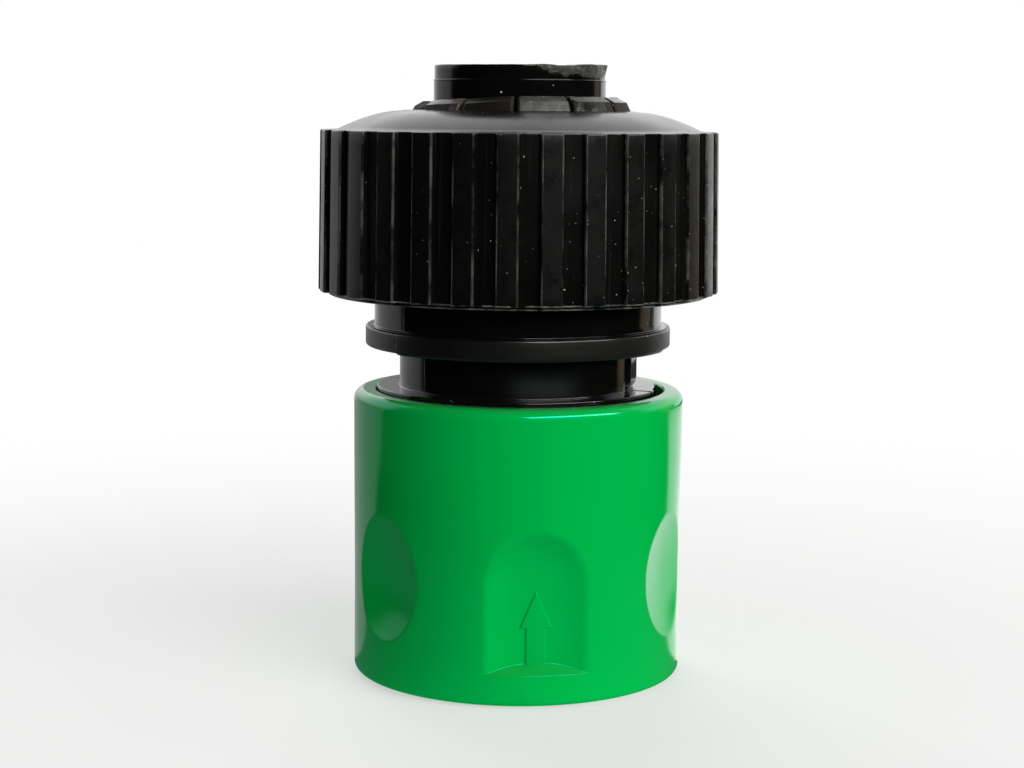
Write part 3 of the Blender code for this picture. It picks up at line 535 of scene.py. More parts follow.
def sleeveSection():
    s = SimpleNamespace(**sleeve)
    camFoot = s.camTopRadius + s.camSlope * (s.camTop - s.bottom)
    corners = [
        (s.bore, s.top, 0.22),
        (s.radius, s.top, s.topRound),
        (s.radius, s.bottom, s.bottomRound),
        (camFoot, s.bottom, 0.2),
        (s.camTopRadius, s.camTop, 0.1),
        (s.camTopRadius, s.shelfBottom, 0.1),
        (s.shelfRadius, s.shelfBottom, 0.15),
        (s.shelfRadius, s.shelfTop, 0.15),
        (s.springBore, s.shelfTop, 0.2),
        (s.springBore, s.boreStep - 0.6, 0.1),
        (s.bore, s.boreStep, 0.1),
    ]
    rounded = roundedSection(corners, 7)
    # rows on the long outer wall, closest together at the ledge
    zones = [(29.4, 19, 12), (19, 17, 10), (17, 5, 42), (5, 3.2, 38), (3.2, 1.3, 6)]
    wall = []
    for high, low, count in zones:
        wall += [(s.radius, high + (low - high) * k / count) for k in range(count)]
    cut = max(i for i, (r, z) in enumerate(rounded) if abs(r - s.radius) < 1e-6 and z > 15) + 1
    return addRows(rounded[:cut] + wall + rounded[cut:], 1)


def makeSleeve():
    s = SimpleNamespace(**sleeve)
    radius, height, azimuth = turnedGrid(sleeveSection(), sleeveColumns())
    outside = ease(radius, s.radius - 0.9, s.radius - 0.05)
    low = ease(height, s.bottom + 0.7, s.bottom + 1.6)
    radius -= sleeveRecess(azimuth, height) * outside * low
    for centre in s.guideAzimuths:
        along = np.abs(np.radians(around(azimuth, centre))) * s.bore
        inWidth = 1 - ease(along, s.guideHalf - 0.1, s.guideHalf + 0.1)
        inLength = (height < s.guideTop) & (height > s.boreStep - 0.7) & (radius < s.bore + 0.1)
        radius -= np.where(inLength, s.guideHeight * inWidth, 0)
    mesh = gridMesh("sleeveShell", radius, height, azimuth, sharp=50)
    # its outside is a little thicker on the right than on the left
    outer = ease(radius, s.bore + 0.1, s.bore + 1.2)
    lean = s.lean * outer + s.boreLean * (1 - outer) * ease(height, s.boreStep, s.boreStep + 2)
    for vertex, shift in zip(mesh.vertices, lean.ravel()):
        vertex.co.x += shift * mm
    addPiece("sleeveShell", mesh, greenPlastic, "sleeve", "green_plastic", "sleeve")


def makeArrows():
    # raised arrows on the recess floors, pointing the way the sleeve is pulled
    s = SimpleNamespace(**sleeve)
    foot = s.ledgeBottom + s.ledgeRise * 0.82

    def outline(grow):
        half = s.arrowShaft / 2 + grow
        head = s.arrowHead / 2 + grow * 1.7
        base = s.arrowBase - grow
        return [(-half, foot), (half, foot), (half, base), (head, base), (0, s.arrowTip + grow * 2),
                (-head, base), (-half, base)]

    floor = s.radius - s.scoopDepth
    back = floor - 0.5
    front = floor + s.arrowRelief
    meshes = []
    for turn in range(3):
        shape = bmesh.new()
        lower = [shape.verts.new((back, x, z)) for x, z in outline(s.arrowTaper)]
        upper = [shape.verts.new((front, x, z)) for x, z in outline(-0.03)]
        shape.faces.new(upper)
        shape.faces.new(lower[::-1])
        for k in range(len(upper)):
            after = (k + 1) % len(upper)
            shape.faces.new((lower[k], lower[after], upper[after], upper[k]))
        bmesh.ops.recalc_face_normals(shape, faces=shape.faces)
        rim = [e for e in shape.edges if all(v in upper for v in e.verts)]
        sides = [e for e in shape.edges if (e.verts[0] in upper) != (e.verts[1] in upper)]
        bmesh.ops.bevel(shape, geom=rim + sides, offset=s.arrowRound, segments=4,
                        profile=0.5, affect="EDGES")
        shape.transform(Matrix.Scale(mm, 4))
        shape.transform(Matrix.Rotation(math.radians(s.scoopAzimuth + 120 * turn - 90), 4, "Z"))
        shape.transform(Matrix.Translation((s.lean * mm, 0, 0)))
        meshes.append(meshFrom(shape, "arrow"))
    mesh = shaded(mergeMeshes("sleeveArrows", meshes), 40)
    addPiece("sleeveArrows", mesh, greenPlastic, "sleeve", "green_plastic")


makeSleeve()
makeArrows()
print("sleeve made")


# ---- body: tail, threaded barrel, collar, flange, neck and shoulder disc
body = dict(
    tailTop=64.8, tailTip=63.35, tailRadius=9.07, tipRadius=9, tailBore=7, burrAzimuth=86, burrHalf=7,
    burr=0.2, torn=(8, 30, 112, 125), tornOut=0.035, tornUp=0.02, endRough=0.012, flakeAzimuth=15,
    flakeHalf=7, flake=0.07, proudRight=(25, 60, 100, 125), proudLeft=(40, 70, 100, 125), proud=(0.15, 0.05),
    pocketFloor=31, neckCore=10.9, flangeTop=37.5, flangeBottom=35.35, flangeRadius=16.25, barrelBore=13.4,
    barrelRadius=15.3, barrelTop=52.5, neckRadius=12.6, discTop=31, discBottom=29, discRadius=15,
    passage=6.5, socketRadius=8.9, socketOuter=11.9, sealRadius=7.25, sealOuter=9.6, socketDepth=13,
    sealEnd=24, snapTop=12.2, snapRadius=12.9, shoulder=14.4, lugAzimuth=80, lugHalf=2.9, lugFlat=0.45,
    lugCrown=0.16, slotAzimuths=(69.5, 249.5), slotHalf=0.17, keyAzimuths=(84, 204, 324), keyHalf=2.2,
    keyDepth=0.32, windowAzimuth=66.9, windowPlace=(10.4, 6.8), windowSize=(6, 5.8, 5), ribAzimuth=6.9,
    ribPlace=(10.3, 21.9), ribSize=(3.2, 1.2, 15), flangeDrop=0.16, flangeDropFrom=-50, flangeDropTo=69,
    threadCrest=16.6, threadPitch=3.6, threadTurns=2, threadStart=44.05, threadRoot=1.9, threadTip=0.8,
    threadSteps=72, threadRunOut=10, threadSink=0.3, threadClearance=0.3, flatHalf=(3.1, 3.7),
    slotReach=14, slotDepth=0.9,
)


def bodyColumns():
    # even, with closer ones at the disc's slots and keys and at the lug
    marks = set(np.arange(0, 360, 1.5).tolist())
    for centre in body["slotAzimuths"]:
        marks |= {centre % 360 + d for d in (-1, -0.8, -0.62, -0.5, 0.5, 0.62, 0.8, 1)}
    for centre in body["keyAzimuths"]:
        for side in (-9.2, 9.2):
            marks |= {(centre + side + d) % 360 for d in (-1.3, -0.7, -0.1, 0.5, 1.1)}
    ordered = sorted(marks)
    kept = [ordered[0]]
    for mark in ordered[1:]:
        if mark - kept[-1] > 0.11:
            kept.append(mark)
    return kept


def bodySection():
    b = SimpleNamespace(**body)
    corners = [
        (b.tailBore, b.tailTop, 0.15),
        (b.tipRadius, b.tailTop, 0.12),
        (b.tipRadius, b.tailTip),
        (b.tailRadius + 0.05, b.tailTip - 0.04, 0.05),
        (b.tailRadius + 0.05, b.tailTip - 0.17, 0.04),
        (b.tailRadius, b.tailTip - 0.22),
        (b.tailRadius, b.pocketFloor, 0.2),
        (b.neckCore, b.pocketFloor, 0.2),
        (b.neckCore, b.flangeTop, 0.15),
        (b.barrelBore, b.flangeTop, 0.2),
        (b.barrelBore, b.barrelTop, 0.15),
        (b.barrelRadius, b.barrelTop, 0.3),
        (b.barrelRadius, b.flangeTop, 0.12),
        (b.flangeRadius, b.flangeTop, 0.28),
        (b.flangeRadius, b.flangeBottom, 0.30),
        (b.neckRadius, b.flangeBottom, 0.15),
        (b.neckRadius, b.discTop, 0.10),
        (b.discRadius, b.discTop, 0.12),
        (b.discRadius, b.discBottom, 0.15),
        (b.passage, b.discBottom),
        (b.tailBore, b.discTop),
    ]
    return addRows(roundedSection(corners, 5), 0.55)


def makeBody():
    b = SimpleNamespace(**body)
    radius, height, azimuth = turnedGrid(bodySection(), bodyColumns())
    outerSide = radius > b.tailBore + 0.5

    # the tail's end is torn on its right half, with a burr at its far right
    fromFront = around(azimuth, 0)
    torn = between(fromFront, *b.torn)
    tipShare = ease(height, b.tailTip + 0.05, b.tailTip + 0.5)
    topShare = ease(height, b.tailTop - 0.3, b.tailTop - 0.05)
    rough = ripple(azimuth + 0.9 * height, 2)
    burr = hump(around(azimuth, b.burrAzimuth), b.burrHalf)
    burr *= ease(height, b.tailTop - 0.75, b.tailTop - 0.3)
    outward = tipShare * torn * b.tornOut * rough + b.burr * burr
    radius += np.where(outerSide, outward, 0)
    height += topShare * (b.endRough + b.tornUp * torn) * rough
    height += topShare * b.flake * hump(around(azimuth, b.flakeAzimuth), b.flakeHalf)
    right, left = between(fromFront, *b.proudRight), between(-fromFront, *b.proudLeft)
    height += topShare * (b.proud[0] * right + b.proud[1] * left)

    # flange: a little deeper between its two parting lines
    deep = ease(around(azimuth, b.flangeDropFrom), -0.8, 0.8)
    deep *= 1 - ease(around(azimuth, b.flangeDropTo), -0.8, 0.8)
    onFlange = (height < b.flangeBottom + 0.9) & (height > b.flangeBottom - 0.1)
    under = onFlange & (radius > b.neckRadius + 0.2)
    lower = np.where(under, 1 - ease(height, b.flangeBottom, b.flangeBottom + 0.9), 0)
    height -= deep * lower * b.flangeDrop

    # neck: a flat with a crowned lug on it
    along = np.radians(around(azimuth, b.lugAzimuth)) * b.neckRadius
    onNeck = (np.abs(radius - b.neckRadius) < 0.3) & (height > b.discTop) & (height < b.flangeBottom)
    middle = (b.discTop + b.flangeBottom) / 2
    halfNeck = (b.flangeBottom - b.discTop) / 2
    flat = b.lugFlat * (1 - ease(np.abs(along), *b.flatHalf))
    crown = (1 - ((height - middle) / halfNeck) ** 8) * (1 - ease(np.abs(along), b.lugHalf - 0.5, b.lugHalf))
    lug = (b.lugFlat + b.lugCrown) * np.clip(crown, 0, 1)
    radius += np.where(onNeck, -flat + lug, 0)

    # shoulder disc: narrow slots and the sleeve's keyways
    onDisc = (height <= b.discTop + 0.01) & (height > b.discBottom - 0.01)
    onDisc &= radius > b.neckRadius + 0.35
    for centre in b.slotAzimuths:
        wide = np.abs(np.radians(around(azimuth, centre))) * b.slotReach
        slot = 1 - ease(wide, b.slotHalf - 0.03, b.slotHalf + 0.03)
        topSide = onDisc & (height > b.discTop - 0.4)
        height -= np.where(topSide, slot * b.slotDepth, 0)
    for centre in b.keyAzimuths:
        wide = np.abs(np.radians(around(azimuth, centre))) * b.discRadius
        key = 1 - ease(wide, b.keyHalf - 0.2, b.keyHalf + 0.6)
        radius = np.where(onDisc, np.minimum(radius, b.discRadius - key * b.keyDepth), radius)
    mesh = gridMesh("bodyShell", radius, height, azimuth, sharp=42)
    addPiece("bodyShell", mesh, blackPlastic, "body", "black_plastic", "body")


def makeSocket():
    # the hidden lower half with the plug's socket and the claw windows
    b = SimpleNamespace(**body)
    corners = [
        (b.sealOuter, b.discBottom + 0.5),
        (b.sealOuter, b.shoulder, 0.2),
        (b.socketOuter, b.shoulder, 0.2),
        (b.socketOuter, b.snapTop, 0.1),
        (b.snapRadius, b.snapTop, 0.1),
        (b.snapRadius, b.snapTop - 0.6, 0.1),
        (b.socketOuter, b.snapTop - 1.2, 0.1),
        (b.socketOuter, 0, 0.3),
        (b.socketRadius + 0.45, 0, 0.12),
        (b.socketRadius, 0.7, 0.12),
        (b.socketRadius, b.socketDepth, 0.15),
        (b.sealRadius + 0.5, b.socketDepth, 0.08),
        (b.sealRadius, b.socketDepth + 0.6, 0.08),
        (b.sealRadius, b.sealEnd, 0.2),
        (b.passage, b.sealEnd, 0.15),
        (b.passage, b.discBottom + 0.5),
    ]
    radius, height, azimuth = turnedGrid(roundedSection(corners, 3), np.arange(0, 360, 3))
    mesh = gridMesh("bodySocket", radius, height, azimuth, sharp=38)
    piece = addObject("bodySocket", mesh)
    tools = (
        ("windows", "DIFFERENCE", 3, b.windowAzimuth, b.windowPlace, b.windowSize),
        ("springRibs", "UNION", 6, b.ribAzimuth, b.ribPlace, b.ribSize),
    )
    for label, operation, count, firstAzimuth, (reach, rise), size in tools:
        shape = bmesh.new()
        for k in range(count):
            turn = Matrix.Rotation(math.radians(firstAzimuth + 360 / count * k - 90), 4, "Z")
            box = turn @ Matrix.Translation((reach * mm, 0, rise * mm))
            box = box @ Matrix.Diagonal((*[side * mm for side in size], 1))
            bmesh.ops.create_cube(shape, size=1, matrix=box)
        step = piece.modifiers.new(label, "BOOLEAN")
        step.operation = operation
        step.solver = "EXACT"
        step.object = addObject(label, meshFrom(shape, label))
    view = bpy.context.evaluated_depsgraph_get()
    cut = shaded(bpy.data.meshes.new_from_object(piece.evaluated_get(view)), 38)
    for label in ("windows", "springRibs"):
        bpy.data.objects.remove(bpy.data.objects[label])
    bpy.data.objects.remove(piece)
    addPiece("bodySocket", cut, blackPlastic, "body", "black_plastic", "body")


def threadRidge(name, innerRadius, outerRadius, innerWidth, outerWidth, start, material, rider, slot):
    # right-hand ridge that runs out to nothing at both ends
    b = SimpleNamespace(**body)
    perTurn, runOut = b.threadSteps, b.threadRunOut
    count = perTurn * b.threadTurns
    inward = innerWidth < outerWidth
    shape = bmesh.new()
    rings = []
    for i in range(count + 1):
        turn = i / perTurn
        fade = min(1, i / runOut, (count - i) / runOut)
        fade = max(0.03, math.sin(fade * math.pi / 2))
        angle = turn * 2 * math.pi
        z = start + b.threadPitch * turn
        inner, outer = innerRadius, outerRadius
        if inward:
            inner = outerRadius - (outerRadius - innerRadius) * fade
        else:
            outer = innerRadius + (outerRadius - innerRadius) * fade
        ring = [(inner, innerWidth / 2), (outer, outerWidth / 2)]
        ring += [(r, -d) for r, d in ring[::-1]]
        spots = [(r * math.cos(angle) * mm, r * math.sin(angle) * mm, (z + d) * mm) for r, d in ring]
        rings.append([shape.verts.new(spot) for spot in spots])
    for first, second in zip(rings, rings[1:]):
        for k in range(4):
            shape.faces.new((first[k], first[(k + 1) % 4], second[(k + 1) % 4], second[k]))
    shape.faces.new(rings[0][::-1])
    shape.faces.new(rings[-1])
    bmesh.ops.recalc_face_normals(shape, faces=shape.faces)
    addPiece(name, shaded(meshFrom(shape, name), 30), material, rider, slot)


makeBody()
makeSocket()
threadRidge(
    "bodyThread", body["barrelRadius"] - body["threadSink"], body["threadCrest"], body["threadRoot"],
    body["threadTip"], body["threadStart"], blackPlastic, "body", "black_plastic",
)
print("body made")


# ---- nut
nut = dict(
    mouthTop=60.2, mouthRadius=11.93, ledgeTop=58.1, ribRadius=21, grooveDepth=0.6, domeFoot=19.2, draft=0.25,
    ribBottom=41.2, bottom=40.8, lipRadius=20.2, bore=16.9, shoulder=54.6, shoulderRadius=15.6, ribCount=30,
    ribAzimuth=8.8, ribHalf=2.92, footHalf=3.45, ribRound=0.22, seatRadius=14.63, domeSteps=14,
    domeStart=0.07, domePower=1.75,
)


def nutColumns():
    half, foot = nut["ribHalf"], nut["footHalf"]
    side = [0, half * 0.5, half - 0.42, half - 0.22, half - 0.08, half + 0.04, half + 0.16,
            foot - 0.14, foot - 0.02, foot + 0.12, foot + 0.35]
    groove = 180 / nut["ribCount"]
    single = [-a for a in side[:0:-1]] + side + [groove * 0.78, groove]
    pitch = 360 / nut["ribCount"]
    return [nut["ribAzimuth"] + pitch * k + a for k in range(nut["ribCount"]) for a in sorted(single)]


def nutRib(azimuth):
    # 1 on a rib, 0 in a groove, with small rounds at both corners
    pitch = 360 / nut["ribCount"]
    off = np.abs((np.degrees(azimuth) - nut["ribAzimuth"] + pitch / 2) % pitch - pitch / 2)
    slope = (nut["footHalf"] - off) / (nut["footHalf"] - nut["ribHalf"])
    return softMin(softMax(slope, 0, nut["ribRound"]), 1, nut["ribRound"])


def nutSection():
    n = SimpleNamespace(**nut)
    dome = []
    start = n.mouthRadius + 0.55
    for k in range(n.domeSteps + 1):
        share = k / n.domeSteps
        drop = n.domeStart + (1 - n.domeStart) * share ** n.domePower
        fall = (n.mouthTop - n.ledgeTop) * drop
        dome.append((start + (n.domeFoot - start) * share, n.mouthTop - fall))
    corners = [
        (n.mouthRadius, n.mouthTop - 0.02, 0.16),
        *dome,
        (n.ribRadius, n.ledgeTop - 0.10, 0.14),
        (n.ribRadius + n.draft, n.ribBottom, 0.16),
        (n.lipRadius, n.ribBottom - 0.02),
        (n.lipRadius, n.bottom, 0.14),
        (n.bore, n.bottom, 0.3),
        (n.bore, n.shoulder - 1.4, 0.1),
        (n.shoulderRadius, n.shoulder, 0.1),
        (n.seatRadius, n.shoulder, 0.1),
        (n.mouthRadius, n.mouthTop - 0.6, 0.1),
    ]
    return addRows(roundedSection(corners, 4), 1.1)


def makeNut():
    n = SimpleNamespace(**nut)
    radius, height, azimuth = turnedGrid(nutSection(), nutColumns())
    rib = nutRib(azimuth)
    edge = n.ribRadius - n.grooveDepth - 0.15
    onSkirt = (radius > edge) & (height > n.ribBottom - 0.1)
    reach = n.ribRadius + n.draft * (n.ledgeTop - height) / (n.ledgeTop - n.ribBottom) - edge
    sunk = n.grooveDepth * (1 - rib)
    radius = np.where(onSkirt, edge + (radius - edge) * (reach - sunk) / reach, radius)
    mesh = gridMesh("nutShell", radius, height, azimuth, sharp=48)
    addPiece("nutShell", mesh, nutPlastic, "nut", "black_nut_plastic", "nut")


makeNut()
threadRidge(
    "nutThread", body["barrelRadius"] + body["threadClearance"], nut["bore"] + body["threadSink"],
    body["threadTip"], body["threadRoot"], body["threadStart"] - body["threadPitch"] / 2, nutPlastic,
    "nut", "black_nut_plastic",
)
print("nut made")


# ---- grip ring: twelve fingers on a flat ring
grip = dict(
    bottom=52.8, flangeTop=54.3, edge=15.2, rootOuter=14.2, rootInner=12.2, mouth=60.2, mouthRadius=11.63,
    tip=61.1, tipRadius=11.18, crown=61.6, land=10.27, tipInner=9.47, fingers=12, slotAzimuth=-2.4,
    slotHalf=1.1, lift={8: -0.55, 9: -0.72, 10: -0.38, 11: -0.10, 2: -0.12}, tilt={10: 0.10, 11: 0.16},
    spread={2: 0.12, 9: -0.05}, wornCorner=0.16, wornWidth=1.3, wallMiddle=10.6,
    teeth=((11.25, 56.6), (10.8, 57), (11, 57.3), (10.55, 58.3), (10.1, 58.7), (10.3, 59)),
)


def makeGripRing():
    g = SimpleNamespace(**grip)
    flat = [
        (g.rootInner, g.flangeTop), (g.edge, g.flangeTop, 0.2), (g.edge, g.bottom, 0.2),
        (g.rootInner, g.bottom, 0.2),
    ]
    radius, height, azimuth = turnedGrid(roundedSection(flat, 3), np.arange(0, 360, 3))
    meshes = [gridMesh("ringFlange", radius, height, azimuth)]
    finger = [
        (g.tipInner, g.crown, 0.12),
        (g.land, g.crown, 0.3),
        (g.tipRadius, g.tip, 0.16),
        (g.mouthRadius, g.mouth),
        (g.rootOuter, g.flangeTop - 0.2),
        (g.rootInner, g.flangeTop - 0.2),
        *g.teeth,
        (g.tipInner, g.mouth, 0.2),
    ]
    section = addRows(roundedSection(finger, 4), 0.5)
    span = 360 / g.fingers
    for k in range(g.fingers):
        start = g.slotAzimuth + span * k + g.slotHalf
        end = g.slotAzimuth + span * (k + 1) - g.slotHalf
        inset = [0, 0.25, 0.7, 1.4]
        columns = [start + d for d in inset] + list(np.linspace(start + 2.4, end - 2.4, 9))
        columns += [end - d for d in inset[::-1]]
        radius, height, azimuth = turnedGrid(section, columns)
        # worn corners: the ends of a finger sit a little inside its middle
        fromEnd = np.minimum(np.degrees(azimuth) - start, end - np.degrees(azimuth))
        worn = g.wornCorner * (1 - ease(fromEnd, 0, g.wornWidth)) ** 2
        radius -= worn * np.sign(radius - g.wallMiddle) * (height > g.mouth - 1)
        height -= worn * (height > g.tip - 0.2)
        upper = ease(height, g.mouth - 0.9, g.tip - 0.1)
        lift = g.lift.get(k, 0.04 * math.sin(k * 2.1))
        lift += g.tilt.get(k, 0) * (np.degrees(azimuth) - (start + end) / 2) / (span / 2)
        height += upper * (lift + 0.025 * ripple(azimuth, k * 1.3))
        radius += upper * (g.spread.get(k, 0) + 0.012 * ripple(azimuth, k * 0.7))
        meshes.append(gridMesh("finger", radius, height, azimuth, closedTurn=False, sharp=40))
    mesh = mergeMeshes("gripFingers", meshes)
    addPiece("gripFingers", mesh, gripPlastic, "grip_ring", "black_grip_plastic", "grip_ring")


makeGripRing()
print("grip ring made")


# ---- return spring
spring = dict(bottom=14.6, top=28.7, wire=1.1, radius=13.35, turns=6, perTurn=40, endGap=0.12, stroke=4)


def makeSpring():
    s = SimpleNamespace(**spring)
    low = s.bottom + s.wire / 2
    high = s.top - s.wire / 2
    closed = s.wire + s.endGap
    openPitch = (high - low - 2 * closed) / (s.turns - 2)
    curve = bpy.data.curves.new("springWire", "CURVE")
    curve.dimensions = "3D"
    curve.bevel_depth = s.wire / 2 * mm
    curve.bevel_resolution = 4
    curve.use_fill_caps = True
    count = s.turns * s.perTurn
    line = curve.splines.new("POLY")
    line.points.add(count)
    for i, point in enumerate(line.points):
        turn = i / s.perTurn
        rise = closed * min(turn, 1) + openPitch * min(max(turn - 1, 0), s.turns - 2)
        rise += closed * max(turn - s.turns + 1, 0)
        angle = 2 * math.pi * turn
        point.co = (s.radius * math.cos(angle) * mm, s.radius * math.sin(angle) * mm, (low + rise) * mm, 1)
    holder = addObject("springWire", curve)
    view = bpy.context.evaluated_depsgraph_get()
    mesh = bpy.data.meshes.new_from_object(holder.evaluated_get(view))
    bpy.data.objects.remove(holder)
    welded = bmesh.new()
    welded.from_mesh(mesh)
    bmesh.ops.remove_doubles(welded, verts=welded.verts, dist=1e-7)
    welded.to_mesh(mesh)
    welded.free()
    mesh.shade_smooth()
    piece = addPiece("springCoil", mesh, steelWire, "body", "spring_wire", "return_spring")
    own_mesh(piece)


makeSpring()
for name in ("claw_1", "claw_2", "claw_3"):
    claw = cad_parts[name]
    claw.data.materials.clear()
    claw.data.materials.append(clawPlastic)
print("spring and claws made")


# ---- floor, world, lamps and camera
# where an entry holds tuples, it starts at the first level and changes to the next between two values
studio = dict(
    floorRadius=1.6, floorCorners=128, floorColour=(0.90, 0.90, 0.89), floorRoughness=0.9, floorSpecular=0.1,
    fade=(0.5, (0.025, 0.18, 1)), bounce=(0.60, (0.018, 0.034, 0.26)), ambient=0.23, front=0.02, frontDim=0.2,
    leftEdge=(-97, (0.018, 0.05, -113), (0.06, 0.16, -104)), leftSoft=(-3, 1.5),
    leftBehind=(0.35, (0.20, 0.40, 0.78)), leftTurn=(-166, -140), leftTone=0.45,
    rightEdge=(97, (0.018, 0.05, 114), (0.06, 0.12, 124), (0.20, 0.42, 137)), rightSoft=(-1.5, 3),
    rightTone=(1.3, (0.06, 0.12, 1.25)), rightTurn=(152, 168), rightBehind=1, rightGap=0.264,
    rightGapHalf=0.052, rightGapTone=0.03, brownFrom=112, brownTo=127, brownShift=(0, (0.40, 0.60, 6)),
    brownReach=(0.22, 0.25), brown=(0.42, 0.35, 0.24), near=(0.060, 0.100), nearTone=(0.08, 0.16, 0.14),
    sky=(1.15, (0.14, 0.32, 1.5), (0.36, 0.62, 1.22), (0.78, 0.86, 0.25)), skyBack=(0, 0.32),
    skyLine=(0.02, 0.14), cardLeft=-38, cardRight=20, cardFoot=1, cardTop=78, cardBack=200,
    cardTone=(0.35, (0.002, 0.006, 0.08)), lampAim=(0, 0, 0.03),
)
photoCamera = dict(focal=2110, imageWidth=1024, sensor=36, distance=224.8, height=60.7, offset=-0.57,
                   pitch=7.53, roll=0.49, nearClip=0.01)
lamps = dict(
    keyLamp=dict(place=(0.46, -0.53, 0.24), width=0.85, height=0.20, power=6.9, colour=(1, 0.99, 0.97),
                 inGloss=False, inDiffuse=True),
    glintLamp=dict(place=(0.40, -0.45, 0.44), width=0.85, height=0.16, power=7.8, colour=(1, 0.99, 0.97),
                   inGloss=True, inDiffuse=False),
    backLamp=dict(place=(-0.15, 0.60, 0.35), width=0.60, height=0.30, power=3, colour=(1, 1, 1),
                  inGloss=False, inDiffuse=True),
)


def roomTone(tree, azimuth, reach, frontTone):
    # what gloss sees around the part: dark in front, pale at the sides and behind, a brown card at the right
    s = SimpleNamespace(**studio)
    left = ramp(tree, azimuth, *s.leftTurn, steps(tree, reach, *s.leftBehind), s.leftTone)
    right = ramp(tree, azimuth, *s.rightTurn, steps(tree, reach, *s.rightTone), s.rightBehind)
    gap = calc(tree, "COMPARE", reach, s.rightGap, s.rightGapHalf)
    right = mixValue(tree, gap, right, s.rightGapTone)
    fromLeft = calc(tree, "SUBTRACT", azimuth, steps(tree, reach, *s.leftEdge))
    fromRight = calc(tree, "SUBTRACT", azimuth, steps(tree, reach, *s.rightEdge))
    tone = mixColour(tree, ramp(tree, fromLeft, *s.leftSoft, 1, 0), frontTone, left)
    middle = (s.brownFrom + s.brownTo) / 2
    shifted = calc(tree, "SUBTRACT", azimuth, steps(tree, reach, *s.brownShift))
    brown = calc(tree, "COMPARE", shifted, middle, middle - s.brownFrom)
    brown = calc(tree, "MULTIPLY", brown, ramp(tree, reach, *s.brownReach))
    tone = mixColour(tree, brown, tone, s.brown)
    return mixColour(tree, ramp(tree, fromRight, *s.rightSoft), tone, right)


def makeFloor():
    s = SimpleNamespace(**studio)
    bpy.ops.mesh.primitive_circle_add(vertices=s.floorCorners, radius=s.floorRadius, fill_type="NGON")
    floor = bpy.context.object
    floor.name = "studioFloor"
    material, tree = newMaterial("paleFloor")
    shader = tree.nodes["Principled BSDF"]
    shader.inputs["Roughness"].default_value = s.floorRoughness
    shader.inputs["Specular IOR Level"].default_value = s.floorSpecular
    shader.inputs["Base Color"].default_value = (*s.floorColour, 1)
    reach, azimuth = turnedPlace(tree, *splitVector(tree, partSpot(tree))[:2])
    rays = addNode(tree, "LightPath").outputs

    def choose(share, first, second):
        return addNode(tree, "MixShader", (share, first, second)).outputs[0]

    def glow(tone):
        return addNode(tree, "Emission", (tone,)).outputs[0]

    # seen directly it fades to white, its bounce is held back, and gloss sees the room's tones
    far = calc(tree, "MULTIPLY", steps(tree, reach, *s.fade), rays["Is Camera Ray"])
    look = choose(far, shader.outputs[0], glow((1, 1, 1)))
    look = choose(rays["Is Diffuse Ray"], look, glow(steps(tree, reach, *s.bounce)))
    near = mixColour(tree, ramp(tree, reach, *s.near), s.nearTone, (s.front * s.frontDim,) * 3)
    look = choose(rays["Is Glossy Ray"], look, glow(roomTone(tree, azimuth, reach, near)))
    plug(tree, tree.nodes["Material Output"].inputs["Surface"], look)
    floor.data.materials.append(material)


def makeBackCard():
    # low upright card behind, grey at its left and dark at its right, seen only in gloss
    s = SimpleNamespace(**studio)
    mesh = bpy.data.meshes.new("backCard")
    places = [(x, z) for z in (s.cardFoot, s.cardTop) for x in (s.cardLeft, s.cardRight)]
    points = [(x * mm, s.cardBack * mm, z * mm) for x, z in places]
    mesh.from_pydata(points, [], [(0, 1, 3, 2)])
    card = addObject("backCard", mesh)
    material, tree = newMaterial("greyCard")
    across = splitVector(tree, partSpot(tree))[0]
    glow = addNode(tree, "Emission", {"Strength": steps(tree, across, *s.cardTone)})
    plug(tree, tree.nodes["Material Output"].inputs["Surface"], glow.outputs[0])
    mesh.materials.append(material)
    for ray in ("camera", "diffuse", "shadow", "transmission"):
        setattr(card, "visible_" + ray, False)


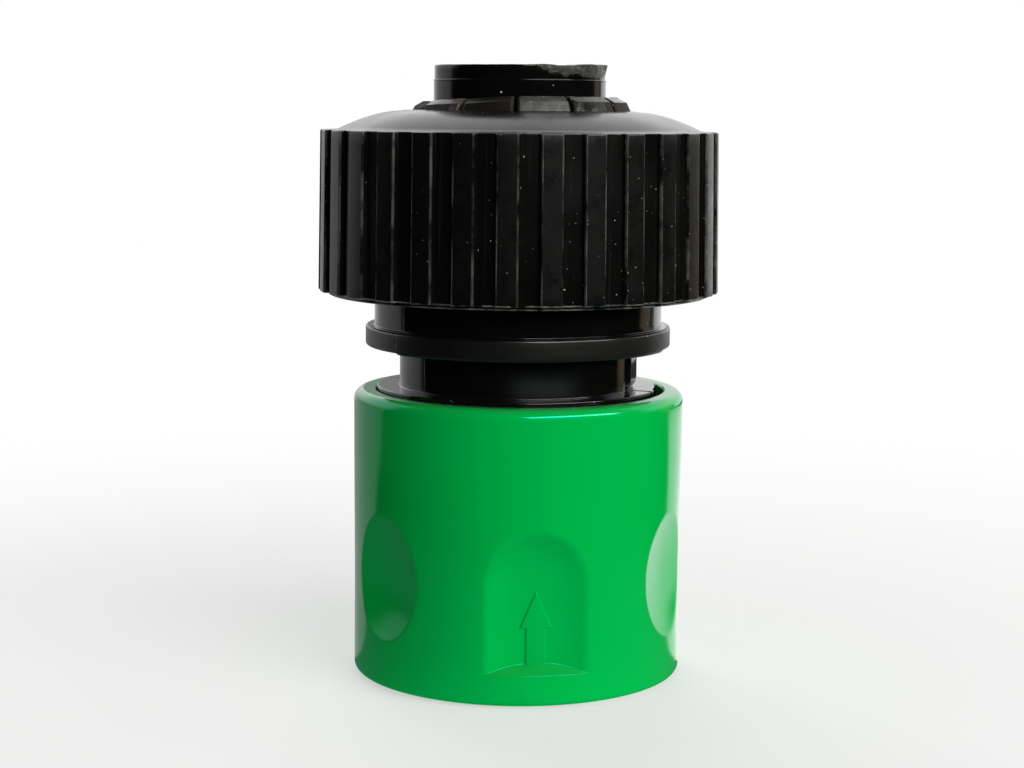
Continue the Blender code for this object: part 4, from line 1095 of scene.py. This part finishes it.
def makeWorld():
    s = SimpleNamespace(**studio)
    world = bpy.data.worlds.new("studioWorld")
    bpy.context.scene.world = world
    world.use_nodes = True
    tree = world.node_tree
    x, y, z = splitVector(tree, addNode(tree, "TexCoord").outputs["Generated"])
    reach, azimuth = turnedPlace(tree, x, y)
    # in gloss: the room's tones at eye height, bright overhead and behind, dark above the camera
    level = roomTone(tree, azimuth, 1, (s.front * s.frontDim,) * 3)
    above = ramp(tree, y, *s.skyBack, s.front, steps(tree, z, *s.sky))
    gloss = mixColour(tree, ramp(tree, z, *s.skyLine), level, above)
    rays = addNode(tree, "LightPath").outputs
    ambient = mixColour(tree, rays["Is Camera Ray"], (s.ambient,) * 3, (1, 1, 1))
    colour = mixColour(tree, rays["Is Glossy Ray"], ambient, gloss)
    plug(tree, tree.nodes["Background"].inputs["Color"], colour)


def makeLamps():
    for name, lamp in lamps.items():
        data = bpy.data.lights.new(name, "AREA")
        data.shape = "RECTANGLE"
        data.size = lamp["width"]
        data.size_y = lamp["height"]
        data.energy = lamp["power"]
        data.color = lamp["colour"]
        made = addObject(name, data)
        made.location = lamp["place"]
        made.visible_glossy = lamp["inGloss"]
        made.visible_diffuse = lamp["inDiffuse"]
        aim = Vector(studio["lampAim"]) - made.location
        made.rotation_euler = aim.to_track_quat("-Z", "Y").to_euler()


def makeCamera():
    c = SimpleNamespace(**photoCamera)
    data = bpy.data.cameras.new("photoCamera")
    data.sensor_width = c.sensor
    data.lens = c.focal * c.sensor / c.imageWidth
    data.clip_start = c.nearClip
    camera = addObject("photoCamera", data)
    pitch = math.radians(c.pitch)
    roll = math.radians(c.roll)
    ahead = Vector((0, math.cos(pitch), -math.sin(pitch)))
    up = Vector((0, math.sin(pitch), math.cos(pitch)))
    right = Vector((1, 0, 0))
    screenRight = right * math.cos(roll) + up * math.sin(roll)
    screenUp = up * math.cos(roll) - right * math.sin(roll)
    turn = Matrix((screenRight, screenUp, -ahead)).transposed().to_4x4()
    camera.matrix_world = Matrix.Translation((c.offset * mm, -c.distance * mm, c.height * mm)) @ turn
    bpy.context.scene.camera = camera


makeFloor()
makeBackCard()
makeWorld()
makeLamps()
makeCamera()
bpy.context.scene.view_settings.view_transform = "Standard"
print("studio ready")
